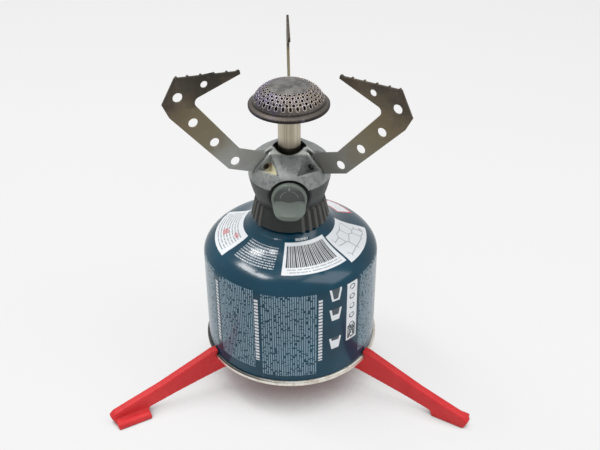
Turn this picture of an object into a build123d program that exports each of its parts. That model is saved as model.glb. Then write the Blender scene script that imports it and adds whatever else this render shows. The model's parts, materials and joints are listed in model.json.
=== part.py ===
from build123d import *
from math import asin, atan2, cos, radians, sin, sqrt
import os

# Camping stove on a gas cartridge with a folding three-leg stabiliser. Millimetres.
# Origin: on the cartridge's axis at floor level. +Z up, the knob faces -Y.

# ---- driving dimensions ----
cartridge_z = 24.5          # underside of the cartridge's seam above the floor
cartridge_r = 54.0          # painted wall, outside
wall_h = 66.3               # from the seam's underside to the shoulder
shoulder_h = 22.4           # rise of the shoulder
land_rise = 2.4             # from the shoulder's end up to the flat land
sheet = 0.8                 # steel sheet of cartridge, base and burner
seam_w = 1.4                # rolled bottom seam, beyond the wall
seam_h = 3.4
dome_rise = 9.0             # hollow under the cartridge
cup_rim_r = 17.6            # raised rim of the valve cup
cup_lip_h = 3.8
cup_depth = 7.6
lug_reach = 1.6             # bayonet lugs beyond the rim
collar_wall = 3.3
collar_h = 13.0
collar_taper = 2.8          # how much narrower the collar is at its top
bowl_h = 16.0               # dark housing between collar and die-cast hub
hub_r = 24.6
hub_band_h = 9.4            # upright band of the die-cast hub
hub_rise = 10.2             # sloping top of the hub
air_bore_r = 9.8            # air opening round the mixing tube
tube_r = 6.6
tube_l = 45.5
burner_rim_r = 23.4
dome_h = 8.24               # perforated side of the burner cap
cap_crown = 2.29            # smooth crown of the burner cap
pan_gap = 12.3              # from the burner up to the pan
knob_r = 10.2
knob_t = 5.8
paddle_l = 4.7              # thumb paddle in front of the knob's face
arm_t = 1.5
arm_reach = 77.2            # outermost corner of an arm from the axis
arm_slope = 16.5            # root of an arm against the horizontal
arm_turn = -2.0             # arms turned a little from the knob's symmetry line
arm_lift = {"left": 4.1, "right": 0.6, "rear": 0.7}      # how far each arm stands off its open stop
arm_twist = {"left": -4.0, "right": 0.7, "rear": 4.3}    # and how it leans in its loose slot
leg_t = 5.6
leg_turn = -1.0
leg_reach = 128.3           # tip of a leg from the axis
foot_l = 24.1

# ---- clearances ----
run = 0.05                  # running fit, radial
slip = 0.02                 # assembled without turning, radial
gap = 0.3                   # between faces that must not rub

arm_azimuth = {"left": -150 + arm_turn, "right": -30 + arm_turn, "rear": 90 + arm_turn}
leg_azimuth = {"left": -150 + leg_turn, "right": -30 + leg_turn, "rear": 90 + leg_turn}

os.makedirs("parts", exist_ok=True)


def radial_plane(azimuth):
    """Upright plane through the axis: local x outward, local y up."""
    a = radians(azimuth)
    return Plane(origin=(0, 0, 0), x_dir=(cos(a), sin(a), 0), z_dir=(sin(a), -cos(a), 0))


def around(azimuth, r, z, offset=0):
    """Point at radius r and height z on an azimuth, offset counter-clockwise."""
    a = radians(azimuth)
    return Vector(r * cos(a) - offset * sin(a), r * sin(a) + offset * cos(a), z)


def crown(r, z, top):
    """Half-way point of a crown that is level on the axis at height top and ends at (r, z)."""
    high = top - z
    ball = (r ** 2 + high ** 2) / (2 * high)
    half = atan2(r, ball - high) / 2
    return (ball * sin(half), top - ball + ball * cos(half))


def between(a, b, share, lift=0):
    """Point at a share of the way from a to b, lifted at right angles to the left of it."""
    length = sqrt((b[0] - a[0]) ** 2 + (b[1] - a[1]) ** 2)
    return (a[0] + share * (b[0] - a[0]) - lift * (b[1] - a[1]) / length,
            a[1] + share * (b[1] - a[1]) + lift * (b[0] - a[0]) / length)


def save(part, label):
    part.label = label
    export_step(part, f"parts/{label}.step")


# ================= cartridge =================
seam_r = cartridge_r + seam_w
seam_top = cartridge_z + seam_h
groove_z = cartridge_z + 1.5
wall_top = cartridge_z + wall_h
lug_r = cup_rim_r + lug_reach
collar_bore_r = lug_r + 0.4
collar_low_r = collar_bore_r + collar_wall
neck_r = collar_low_r + 0.1     # the shoulder ends just outside the collar
neck_z = wall_top + shoulder_h
cup_r = cup_rim_r - 2.4
cup_z = neck_z + land_rise      # the cartridge's top land, under the cup's rim
shoulder_form = [(1, 0), (0.923, 0.259), (0.748, 0.446), (0.484, 0.598), (0.226, 0.768), (0, 1)]
shoulder = [(neck_r + u * (cartridge_r - neck_r), wall_top + v * shoulder_h) for u, v in shoulder_form]


def shoulder_line(inset):
    """Shoulder of the can from wall to collar, moved inward by inset along its normal."""
    moved = []
    for k, (r, z) in enumerate(shoulder):
        r0, z0 = shoulder[max(k - 1, 0)]
        r1, z1 = shoulder[min(k + 1, len(shoulder) - 1)]
        length = sqrt((r1 - r0) ** 2 + (z1 - z0) ** 2)
        moved.append((r - inset * (z1 - z0) / length, z + inset * (r1 - r0) / length))
    moved[0] = (cartridge_r - inset, wall_top)
    return moved


with BuildPart() as cartridge_shell:
    with BuildSketch(Plane.XZ):
        with BuildLine():
            outer = shoulder_line(0)
            inner = shoulder_line(sheet)
            Spline(*outer, tangents=[(0, 1), (-1, 0.7)])
            Polyline(outer[-1], (cup_rim_r, cup_z), (cup_r + slip + sheet, cup_z),
                     (cup_r + slip + sheet, cup_z - sheet), (cup_rim_r, cup_z - sheet - 0.1), inner[-1])
            Spline(*inner, tangents=[(0, 1), (-1, 0.7)])
            Polyline(inner[0], (cartridge_r - sheet, groove_z), (cartridge_r, groove_z), outer[0])
        make_face()
    revolve(axis=Axis.Z)
save(cartridge_shell.part, "cartridge_shell")

# Domed bottom, its rolled seam holds the wall's lower edge in a groove.
base_dome_z = cartridge_z + dome_rise
base_r = cartridge_r - 3.4      # where the hollow starts
with BuildPart() as cartridge_base:
    with BuildSketch(Plane.XZ):
        with BuildLine():
            edge = (base_r, cartridge_z + 1.6)
            inner_edge = (base_r + 0.3, cartridge_z + 2.6)
            inner_r = cartridge_r - 2 * sheet
            ThreePointArc((0, base_dome_z), crown(*edge, base_dome_z), edge)
            Polyline(edge, (base_r + sheet, cartridge_z + 0.3), (base_r + 2 * sheet, cartridge_z),
                     (seam_r - 0.7, cartridge_z), (seam_r, cartridge_z + 0.7), (seam_r, seam_top - 0.9),
                     (seam_r - 0.9, seam_top), (cartridge_r + slip, seam_top),
                     (cartridge_r + slip, groove_z),
                     (cartridge_r - sheet - slip, groove_z), (cartridge_r - sheet - slip, seam_top),
                     (inner_r, seam_top), (inner_r, cartridge_z + 2.3), (inner_r - 0.8, cartridge_z + 1.9),
                     inner_edge)
            ThreePointArc(inner_edge, crown(*inner_edge, base_dome_z + sheet), (0, base_dome_z + sheet))
            Line((0, base_dome_z + sheet), (0, base_dome_z))
        make_face()
    revolve(axis=Axis.Z)
save(cartridge_base.part, "cartridge_base")

# ---- valve in the cartridge's mouth ----
cup_floor_z = cup_z - cup_depth
cup_top = cup_z + cup_lip_h
lug_z = cup_z + 1.7         # underside of the bayonet lugs
lug_arc = 50
cavity_r = 3.6
valve_r = cavity_r + 1.3
with BuildPart() as valve_cup:
    with BuildSketch(Plane.XZ):
        with BuildLine():
            Polyline((valve_r + run, cup_floor_z), (cup_r, cup_floor_z), (cup_r, cup_z),
                     (cup_rim_r, cup_z),
                     (cup_rim_r, cup_top - 0.5), (cup_rim_r - 0.5, cup_top), (cup_r - 0.3, cup_top),
                     (cup_r - sheet, cup_top - 0.6), (cup_r - sheet, cup_floor_z + sheet),
                     (valve_r + run, cup_floor_z + sheet), close=True)
        make_face()
    revolve(axis=Axis.Z)
    for k in range(3):
        with BuildSketch(radial_plane(leg_azimuth["rear"] + 120 * k - lug_arc / 2)):
            with BuildLine():
                Polyline((cup_rim_r - 0.5, lug_z), (lug_r, lug_z), (lug_r, cup_top - 0.8),
                         (cup_rim_r - 0.5, cup_top - 0.6), close=True)
            make_face()
        revolve(axis=-Axis.Z, revolution_arc=-lug_arc)
save(valve_cup.part, "valve_cup")

valve_top = cup_floor_z + 3.0
stem_r = 1.9
cavity_z = cup_floor_z - 9.0
cavity_top = cup_floor_z - 1.0
gasket_t = 1.2
stem_flange_r = cavity_r - 0.4
stem_flange_z = cavity_top - 3.7
with BuildPart() as valve_body:
    with BuildSketch(Plane.XZ):
        with BuildLine():
            Polyline((0.8, cavity_z - 3), (3.0, cavity_z - 3), (valve_r, cavity_z - 1),
                     (valve_r, cup_floor_z - 3),
                     (valve_r + 1.6, cup_floor_z - 3), (valve_r + 1.6, cup_floor_z),
                     (valve_r, cup_floor_z),
                     (valve_r, valve_top - 0.4), (valve_r - 0.4, valve_top), (stem_r + run, valve_top),
                     (stem_r + run, cavity_top), (cavity_r, cavity_top), (cavity_r, cavity_z),
                     (0.8, cavity_z), close=True)
        make_face()
    revolve(axis=Axis.Z)
save(valve_body.part, "valve_body")

with BuildPart() as valve_gasket:
    with BuildSketch(Plane.XY.offset(cavity_top - gasket_t)):
        Circle(cavity_r - slip)
        Circle(stem_r + run, mode=Mode.SUBTRACT)
    extrude(amount=gasket_t)
save(valve_gasket.part, "valve_gasket")

stem_top = valve_top - 0.5
stem_low = stem_flange_z - 2.9
spring_guide_r = 1.6
with BuildPart() as valve_stem:
    with BuildSketch(Plane.XZ):
        with BuildLine():
            Polyline((0, stem_low), (spring_guide_r - 0.3, stem_low), (spring_guide_r, stem_low + 0.4),
                     (spring_guide_r, stem_flange_z), (stem_flange_r, stem_flange_z),
                     (stem_flange_r, stem_flange_z + 1), (stem_r, stem_flange_z + 1), (stem_r, stem_top),
                     (0.6, stem_top), (0.6, stem_top - 5.5), (0, stem_top - 5.5), close=True)
        make_face()
    revolve(axis=Axis.Z)
save(valve_stem.part, "valve_stem")

spring_wire = 0.3
spring_r = cavity_r - 1.1
spring_low = cavity_z + spring_wire
spring_high = stem_flange_z - spring_wire
with BuildPart() as valve_spring:
    with BuildLine():
        Helix(pitch=(spring_high - spring_low) / 4, height=spring_high - spring_low,
              radius=spring_r, center=(0, 0, spring_low))
    with BuildSketch(Plane(origin=(spring_r, 0, spring_low), z_dir=(0, 1, 0.06))):
        Circle(spring_wire)
    sweep(is_frenet=True)
save(valve_spring.part, "valve_spring")

# ================= stove body =================
collar_z = cup_z + 0.9
collar_top = collar_z + collar_h
collar_high_r = collar_low_r - collar_taper
flange_t = 2.2              # flange of the valve block, clamped on the cup's lip
web_z = cup_top + flange_t  # underside of the collar's web
block_neck_r = 8.9
claw_arc = 40
screw_r = 1.5
screw_play = 0.15
screw_circle = air_bore_r + 5.2
screw_head_r = screw_r + 1.3
screw_head_h = 1.8
screw_seat_z = web_z + 3.0
screw_azimuths = list(arm_azimuth.values())
rib_r = 1.35
rib_sunk = 0.35
rib_count = 10
rib_step = 12
rib_turn = -15.5            # ribs turned a little from the knob's symmetry line
with BuildPart() as lock_collar:
    with BuildSketch(Plane.XZ):
        with BuildLine():
            Polyline((collar_bore_r, collar_z), (collar_low_r - 0.6, collar_z),
                     (collar_low_r, collar_z + 0.6),
                     (collar_high_r + 0.15, collar_top - 0.7), (collar_high_r - 0.5, collar_top),
                     (block_neck_r + slip, collar_top), (block_neck_r + slip, web_z),
                     (collar_bore_r, web_z), close=True)
        make_face()
    revolve(axis=Axis.Z)
    # claws that hook under the lugs
    for k in range(3):
        with BuildSketch(radial_plane(leg_azimuth["rear"] + 120 * k - claw_arc / 2)):
            with BuildLine():
                Polyline((cup_rim_r + gap, collar_z), (collar_bore_r + 0.6, collar_z),
                         (collar_bore_r + 0.6, lug_z), (cup_rim_r + gap, lug_z), close=True)
            make_face()
        revolve(axis=-Axis.Z, revolution_arc=-claw_arc)
    # grip ribs on both sides, following the collar's slope
    for side in (0, 180):
        for k in range(rib_count):
            az = side + rib_turn + rib_step * (k - (rib_count - 1) / 2)
            foot = around(az, collar_low_r - rib_sunk, collar_z)
            head = around(az, collar_high_r - rib_sunk, collar_top - 0.9)
            with BuildSketch(Plane(origin=foot, z_dir=head - foot)):
                Circle(rib_r)
            extrude(amount=(head - foot).length)
    # flat underside
    with BuildSketch(Plane.XY.offset(collar_z)):
        Circle(collar_low_r + 2 * rib_r)
    extrude(amount=-rib_r, mode=Mode.SUBTRACT)
    for az in screw_azimuths:
        with BuildSketch(Plane.XY.offset(web_z)):
            with Locations(around(az, screw_circle, 0)):
                Circle(screw_r + screw_play)
        extrude(amount=collar_h, mode=Mode.SUBTRACT)
        with BuildSketch(Plane.XY.offset(web_z)):
            with Locations(around(az, screw_circle, 0)):
                Circle(screw_head_r + 0.2)
        extrude(amount=screw_seat_z - web_z, mode=Mode.SUBTRACT)
save(lock_collar.part, "lock_collar")

bowl_top = collar_top + bowl_h
bowl_low_r = collar_high_r + 0.2
bowl_floor_t = 2.0
recess_r = knob_r + 1.6     # round recess the knob sits in
recess_floor_y = -(hub_r - 5.1)
floor_t = 1.6
knob_z = collar_top + recess_r + 0.1
spindle_r = 2.0
with BuildPart() as bowl_housing:
    with BuildSketch(Plane.XZ):
        with BuildLine():
            Line((block_neck_r + slip, collar_top), (bowl_low_r - 0.5, collar_top))
            Line((bowl_low_r - 0.5, collar_top), (bowl_low_r, collar_top + 0.5))
            bulge = (bowl_low_r + 0.6 * (hub_r - bowl_low_r), collar_top + 0.51 * bowl_h)
            ThreePointArc((bowl_low_r, collar_top + 0.5), bulge, (hub_r, bowl_top))
            Polyline((hub_r, bowl_top), (hub_r - 2.4, bowl_top), (bowl_low_r - 1.4, collar_top + 3.4),
                     (bowl_low_r - 2.4, collar_top + bowl_floor_t),
                     (block_neck_r + slip, collar_top + bowl_floor_t),
                     (block_neck_r + slip, collar_top))
        make_face()
    revolve(axis=Axis.Z)
    # upright round wall behind the knob
    with BuildSketch(Plane.XZ.offset(-recess_floor_y - floor_t)):
        with Locations((0, knob_z)):
            Circle(recess_r)
    extrude(amount=floor_t)
    with BuildSketch(Plane.XZ.offset(-recess_floor_y)):
        with Locations((0, knob_z)):
            Circle(recess_r)
    extrude(amount=12, mode=Mode.SUBTRACT)
    with BuildSketch(Plane.XZ.offset(-recess_floor_y + 1)):
        with Locations((0, knob_z)):
            Circle(spindle_r + 2.2)
    extrude(amount=-(floor_t + 4), mode=Mode.SUBTRACT)
    for az in screw_azimuths:
        with BuildSketch(Plane.XY.offset(collar_top)):
            with Locations(around(az, screw_circle, 0)):
                Circle(screw_r + screw_play)
        extrude(amount=bowl_floor_t, mode=Mode.SUBTRACT)
save(bowl_housing.part, "bowl_housing")

# ---- die-cast hub: slots for the arms, pockets that show the hinge pins ----
hub_z = bowl_top
hub_wall = 2.6
ridge_z = hub_z + hub_band_h
ridge_r = hub_r - 1.7
hub_top_z = ridge_z + hub_rise
facet_z = hub_top_z + 2.2   # flat facets between the arms: height on the axis, fall outward
facet_fall = 0.54
post_r = 2.8
post_grip = 10.1            # thread of a screw in its post
root_r = 5.6                # rounded root of an arm round its pin
pivot_r = air_bore_r + root_r + 1.4     # hinge pins: distance from the axis
pivot_z = ridge_z + 0.3
hub_floor_z = pivot_z - root_r - 1.4
root_play = 0.2
arm_play = 0.7              # on each side of an arm in its slot
slot_w = arm_t + 2 * arm_play
cheek_w = slot_w / 2 + 1.9  # outer face of a slot's cheek from the arm's middle
pin_r = 1.5
pin_l = 2 * (cheek_w - 0.9) # pins end inside their holes


def arm_point(along, across):
    """Point in an arm's plane, measured from the pin along and across the root limb."""
    a = radians(arm_slope)
    return (pivot_r + along * cos(a) - across * sin(a), pivot_z + along * sin(a) + across * cos(a))


def pocket(azimuth, side):
    """Four-sided wedge whose upright face is a cheek and whose lowest corner is by the pin."""
    low = (pivot_r - 2.2, cheek_w, pivot_z - 3.6)
    rim = [(pivot_r - 3.6, cheek_w, hub_top_z - 2.2), (ridge_r - 0.2, cheek_w, ridge_z),
           (pivot_r - 1.4, cheek_w + 14.7, ridge_z + 0.2)]
    grown = [tuple(l + 1.9 * (p - l) for p, l in zip(point, low)) for point in rim]
    a, b, c = (around(azimuth, r, z, side * w) for r, w, z in grown)
    d = around(azimuth, low[0], low[2], side * low[1])
    corners = ((a, b, d), (b, c, d), (c, a, d), (a, c, b))
    return Solid(Shell([Face(Wire.make_polygon(tri, close=True)) for tri in corners]))


slot_l = hub_r - pivot_r + 8.2
with BuildPart() as burner_hub:
    with BuildSketch(Plane.XZ):
        with BuildLine():
            Polyline((air_bore_r, hub_floor_z), (hub_r - hub_wall, hub_floor_z), (hub_r - hub_wall, hub_z),
                     (hub_r, hub_z), (hub_r - 0.1, hub_z + 4), (ridge_r + 0.25, ridge_z - 0.7),
                     (ridge_r - 0.5, ridge_z), (air_bore_r + 1.5, hub_top_z),
                     (air_bore_r + 0.5, hub_top_z),
                     (air_bore_r, hub_top_z - 0.5), close=True)
        make_face()
    revolve(axis=Axis.Z)
    # screw posts down to the bowl's floor
    for az in screw_azimuths:
        with BuildSketch(Plane.XY.offset(collar_top + bowl_floor_t)):
            with Locations(around(az, screw_circle, 0)):
                Circle(post_r)
        extrude(amount=hub_floor_z - collar_top - bowl_floor_t)
        with BuildSketch(Plane.XY.offset(collar_top + bowl_floor_t)):
            with Locations(around(az, screw_circle, 0)):
                Circle(screw_r + slip)
        extrude(amount=post_grip + 1.9, mode=Mode.SUBTRACT)
    # flat facets half-way between the arms
    for az in arm_azimuth.values():
        with BuildSketch(radial_plane(az + 60)):
            with BuildLine():
                Polyline((0, facet_z), (2 * hub_r, facet_z - 2 * hub_r * facet_fall),
                         (2 * hub_r, facet_z + 1),
                         (0, facet_z + 1), close=True)
            make_face()
        extrude(amount=2 * hub_r, both=True, mode=Mode.SUBTRACT)
    for az in arm_azimuth.values():
        with BuildSketch(radial_plane(az)):
            with Locations((pivot_r, pivot_z)):
                Circle(root_r + root_play)
            with BuildLine():
                Polyline(arm_point(0, -root_r), arm_point(slot_l, -root_r), arm_point(slot_l, slot_l + 4),
                         (pivot_r - root_r - root_play, hub_top_z + 2),
                         (pivot_r - root_r - root_play, pivot_z), close=True)
            make_face()
            with BuildLine():
                Polyline(arm_point(0, -root_r), arm_point(0, -root_r - 1), arm_point(slot_l, -root_r - 1),
                         arm_point(slot_l, -root_r), close=True)
            make_face(mode=Mode.SUBTRACT)
        extrude(amount=slot_w / 2, both=True, mode=Mode.SUBTRACT)
        for side in (-1, 1):
            add(pocket(az, side), mode=Mode.SUBTRACT)
        with BuildSketch(radial_plane(az)):
            with Locations((pivot_r, pivot_z)):
                Circle(pin_r + slip)
        extrude(amount=cheek_w + 1.6, both=True, mode=Mode.SUBTRACT)
    # round cut for the knob
    with BuildSketch(Plane.XZ.offset(-recess_floor_y - floor_t - 0.02)):
        with Locations((0, knob_z)):
            Circle(recess_r)
    extrude(amount=14, mode=Mode.SUBTRACT)
save(burner_hub.part, "burner_hub")

with BuildPart() as arm_pins:
    for az in arm_azimuth.values():
        with BuildSketch(radial_plane(az)):
            with Locations((pivot_r, pivot_z)):
                Circle(pin_r)
        extrude(amount=pin_l / 2, both=True)
save(arm_pins.part, "arm_pins")

with BuildPart() as hub_screws:
    for az in screw_azimuths:
        centre = around(az, screw_circle, 0)
        with BuildSketch(Plane.XY.offset(screw_seat_z)):
            with Locations(centre):
                Circle(screw_r)
        extrude(amount=collar_top + bowl_floor_t + post_grip - screw_seat_z)
        with BuildSketch(Plane.XY.offset(screw_seat_z)):
            with Locations(centre):
                Circle(screw_head_r)
        extrude(amount=-screw_head_h)
        with BuildSketch(Plane.XY.offset(screw_seat_z - screw_head_h)):
            with Locations(centre):
                Rectangle(2 * screw_head_r - 2.4, 0.8)
                Rectangle(0.8, 2 * screw_head_r - 2.4)
        extrude(amount=screw_head_h - 0.8, mode=Mode.SUBTRACT)
save(hub_screws.part, "hub_screws")

# ---- brass valve block with nose, jet seat and front gland ----
nose_r = 4.5
nose_z = valve_top + 1.6
probe_r = 2.6
probe_l = 3.0
block_r = 8.2
boss_r = 5.2
tube_seat_z = knob_z + 3.1
tube_wall = 0.5
block_top = tube_seat_z + 3.0
gland_t = 3.4
gland_r = 3.4
gland_y = recess_floor_y + floor_t + 0.7 + gland_t
gland_depth = 3.2
duct_r = 0.9
jet_r = 2.5
jet_seat = 3.0
with BuildPart() as valve_block:
    with BuildSketch(Plane.XZ):
        with BuildLine():
            Polyline((0, nose_z + probe_l), (probe_r, nose_z + probe_l), (probe_r, nose_z),
                     (nose_r, nose_z),
                     (nose_r, cup_top - 1.5), (nose_r + 1.5, cup_top), (cup_rim_r - 0.6, cup_top),
                     (cup_rim_r - 0.6, web_z), (block_neck_r, web_z), (block_neck_r, collar_top + 4),
                     (block_r, collar_top + 5), (block_r, tube_seat_z),
                     (tube_r - tube_wall - slip, tube_seat_z), (tube_r - tube_wall - slip, block_top),
                     (0, block_top), close=True)
        make_face()
    revolve(axis=Axis.Z)
    # boss for the spindle
    with BuildSketch(Plane.XZ):
        with Locations((0, knob_z)):
            Circle(boss_r)
    extrude(amount=-gland_y)
    with BuildSketch(Plane.XY.offset(tube_seat_z)):
        Circle(-gland_y + 2)
        Circle(tube_r - tube_wall - slip, mode=Mode.SUBTRACT)
    extrude(amount=boss_r, mode=Mode.SUBTRACT)
    with BuildSketch(Plane.XY.offset(block_top)):
        Circle(-gland_y + 2)
    extrude(amount=boss_r, mode=Mode.SUBTRACT)
    # spindle bore, seal seat and gland thread
    with BuildSketch(Plane.XZ.offset(1.5)):
        with Locations((0, knob_z)):
            Circle(spindle_r + run)
    extrude(amount=20, mode=Mode.SUBTRACT)
    with BuildSketch(Plane.XZ.offset(-gland_y - gland_depth)):
        with Locations((0, knob_z)):
            Circle(gland_r + slip)
    extrude(amount=10, mode=Mode.SUBTRACT)
    # gas passages: inlet up to the needle, and on to the jet
    with BuildSketch(Plane.XY.offset(nose_z)):
        Circle(duct_r)
    extrude(amount=knob_z - nose_z, mode=Mode.SUBTRACT)
    with BuildSketch(Plane.XY.offset(block_top - jet_seat)):
        Circle(jet_r + slip)
    extrude(amount=jet_seat + 1, mode=Mode.SUBTRACT)
    with BuildSketch(Plane.XZ.offset(-2)):
        with Locations((0, knob_z)):
            Circle(duct_r + 0.3)
    extrude(amount=6, mode=Mode.SUBTRACT)
    with BuildSketch(Plane.XY.offset(knob_z)):
        Circle(duct_r)
    extrude(amount=block_top - knob_z, mode=Mode.SUBTRACT)
save(valve_block.part, "valve_block")

probe_tip_r = 1.1
with BuildPart() as inlet_probe:
    with BuildSketch(Plane.XZ):
        with BuildLine():
            Polyline((0.4, stem_top), (probe_tip_r, stem_top), (probe_tip_r, nose_z),
                     (probe_r - slip, nose_z),
                     (probe_r - slip, nose_z + probe_l), (0.4, nose_z + probe_l), close=True)
        make_face()
    revolve(axis=Axis.Z)
save(inlet_probe.part, "inlet_probe")

with BuildPart() as inlet_seal:
    with BuildSketch(Plane.XY.offset(valve_top)):
        Circle(nose_r - 0.2)
        Circle(probe_tip_r + slip, mode=Mode.SUBTRACT)
    extrude(amount=nose_z - valve_top)
save(inlet_seal.part, "inlet_seal")

jet_hex_h = 2.6
with BuildPart() as jet:
    with BuildSketch(Plane.XY.offset(block_top - jet_seat)):
        Circle(jet_r)
    extrude(amount=jet_seat)
    with BuildSketch(Plane.XY.offset(block_top)):
        RegularPolygon(radius=jet_r + 1.5, side_count=6)
    extrude(amount=jet_hex_h)
    with BuildSketch(Plane.XY.offset(block_top + jet_hex_h)):
        Circle(jet_r - 0.7)
    extrude(amount=1.6, taper=12)
    with BuildSketch(Plane.XY.offset(block_top - jet_seat - 1)):
        Circle(0.35)
    extrude(amount=jet_seat + jet_hex_h + 4, mode=Mode.SUBTRACT)
save(jet.part, "jet")

# ---- mixing tube with air holes inside the hub ----
tube_top = tube_seat_z + tube_l
air_hole_r = 2.2
air_hole_z = block_top + 7.0
with BuildPart() as mixing_tube:
    with BuildSketch(Plane.XY.offset(tube_seat_z)):
        Circle(tube_r)
        Circle(tube_r - tube_wall, mode=Mode.SUBTRACT)
    extrude(amount=tube_top - tube_seat_z)
    for az in (0, 90):
        with BuildSketch(radial_plane(az)):
            with Locations((0, air_hole_z)):
                Circle(air_hole_r)
        extrude(amount=tube_r + 1, both=True, mode=Mode.SUBTRACT)
save(mixing_tube.part, "mixing_tube")

# ---- burner: pan below, perforated dome above ----
burner_pan_z = tube_top - 3.0
burner_rim_z = burner_pan_z + 2.8
dome_foot_r = burner_rim_r - 2.8
dome_foot_z = burner_rim_z + 2.87
cap_edge_r = dome_foot_r - 8.6
cap_edge_z = dome_foot_z + dome_h
dome_bend = 13.8            # radius of the dome's side in section
dome_chord = sqrt((dome_foot_r - cap_edge_r) ** 2 + dome_h ** 2)
dome_axis = between((dome_foot_r, dome_foot_z), (cap_edge_r, cap_edge_z), 0.5,
                    sqrt(dome_bend ** 2 - dome_chord ** 2 / 4))


def dome_point(r, depth=0):
    """Point of the dome's side in section under radius r, moved inward by depth."""
    out = r - dome_axis[0]
    k = (dome_bend - depth) / dome_bend
    return (dome_axis[0] + k * out, dome_axis[1] + k * sqrt(dome_bend ** 2 - out ** 2))


burner_top_z = cap_edge_z + cap_crown
dome_mid_r = (cap_edge_r + dome_foot_r) / 2
ports_per_row = 30
port_stretch = 1.1
# rows of holes: distance inward from the dome's foot, radius of the holes
port_rows = [(8.05, 0.6), (6.05, 0.68), (4.25, 0.72), (2.7, 0.74), (1.4, 0.68)]
with BuildPart() as burner_cap:
    with BuildSketch(Plane.XZ):
        with BuildLine():
            edge = dome_point(cap_edge_r)
            foot = dome_point(dome_foot_r)
            inner_edge = dome_point(cap_edge_r, sheet)
            inner_foot = dome_point(dome_foot_r, sheet)
            ThreePointArc((0, burner_top_z), crown(*edge, burner_top_z), edge)
            ThreePointArc(edge, dome_point(dome_mid_r), foot)
            Polyline(foot, (dome_foot_r + 0.9, burner_rim_z + 1.5),
                     (burner_rim_r - 0.7, burner_rim_z + 0.9),
                     (burner_rim_r, burner_rim_z + 0.4), (burner_rim_r, burner_rim_z),
                     (dome_foot_r + 0.2, burner_rim_z), inner_foot)
            ThreePointArc(inner_foot, dome_point(dome_mid_r, sheet), inner_edge)
            ThreePointArc(inner_edge, crown(*inner_edge, burner_top_z - sheet), (0, burner_top_z - sheet))
            Line((0, burner_top_z - sheet), (0, burner_top_z))
        make_face()
    revolve(axis=Axis.Z)
    # five staggered rows of ports, the lowest drawn out into short slots
    for row, (inward, port_r) in enumerate(port_rows):
        r = dome_foot_r - inward
        tilt = asin((r - dome_axis[0]) / dome_bend)
        seats = []
        for n in range(ports_per_row):
            az = 360 / ports_per_row * (n + 0.5 * (row % 2) + 0.775)
            seats.append(Plane(origin=around(az, *dome_point(r, 2)), x_dir=around(az + 90, 1, 0),
                               z_dir=around(az, sin(tilt), cos(tilt))))
        with BuildSketch(*seats):
            if row < len(port_rows) - 1:
                Circle(port_r)
            else:
                SlotOverall(2 * port_r + port_stretch, 2 * port_r, rotation=90)
        extrude(amount=4, mode=Mode.SUBTRACT)
save(burner_cap.part, "burner_cap")

with BuildPart() as burner_base:
    with BuildSketch(Plane.XZ):
        with BuildLine():
            Polyline((tube_r + slip, burner_pan_z - 5), (tube_r + 1.0, burner_pan_z - 5),
                     (tube_r + 1.0, burner_pan_z - 1.6), (tube_r + 2.4, burner_pan_z - 0.6),
                     (dome_foot_r - 1.4, burner_rim_z - 2.4), (burner_rim_r - 1.2, burner_rim_z - 1.6),
                     (burner_rim_r, burner_rim_z - 0.9), (burner_rim_r, burner_rim_z),
                     (dome_foot_r + 0.4, burner_rim_z), (dome_foot_r - 1.6, burner_rim_z - 1.5),
                     (tube_r + 2.2, burner_pan_z + 0.3), (tube_r + slip, burner_pan_z - 0.4), close=True)
        make_face()
    revolve(axis=Axis.Z)
save(burner_base.part, "burner_base")

# ================= valve spindle and knob =================
spindle_tip_y = -2.6
seal_t = 1.2
with BuildPart() as gland_nut:
    with BuildSketch(Plane.XZ.offset(-gland_y)):
        with Locations((0, knob_z)):
            RegularPolygon(radius=gland_r + 1.6, side_count=6)
    extrude(amount=gland_t)
    with BuildSketch(Plane.XZ.offset(-gland_y)):
        with Locations((0, knob_z)):
            Circle(gland_r)
    extrude(amount=seal_t - gland_depth)
    with BuildSketch(Plane.XZ.offset(-gland_y - gland_depth)):
        with Locations((0, knob_z)):
            Circle(spindle_r + run)
    extrude(amount=12, mode=Mode.SUBTRACT)
save(gland_nut.part, "gland_nut")

# soft ring between the gland and the seat's bottom
with BuildPart() as spindle_seal:
    with BuildSketch(Plane.XZ.offset(-gland_y - gland_depth)):
        with Locations((0, knob_z)):
            Circle(gland_r - run)
            Circle(spindle_r + run, mode=Mode.SUBTRACT)
    extrude(amount=seal_t)
save(spindle_seal.part, "spindle_seal")

knob_back_y = recess_floor_y - 0.7
knob_face_y = knob_back_y - knob_t
spindle_end_y = knob_face_y + 2.2
needle_l = 1.4
flat_h = 1.2
with BuildPart() as spindle:
    with BuildSketch(Plane.XZ.offset(needle_l - spindle_tip_y)):
        with Locations((0, knob_z)):
            Circle(spindle_r)
    extrude(amount=spindle_tip_y - needle_l - spindle_end_y)
    with BuildSketch(Plane.XZ.offset(needle_l - spindle_tip_y)):
        with Locations((0, knob_z)):
            Circle(spindle_r)
    extrude(amount=-needle_l, taper=40)
    # flat for the knob
    with BuildSketch(Plane.XZ.offset(-knob_back_y)):
        with Locations((0, knob_z + spindle_r)):
            Rectangle(2 * spindle_r + 1, flat_h)
    extrude(amount=knob_t, mode=Mode.SUBTRACT)
save(spindle.part, "spindle")

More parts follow.
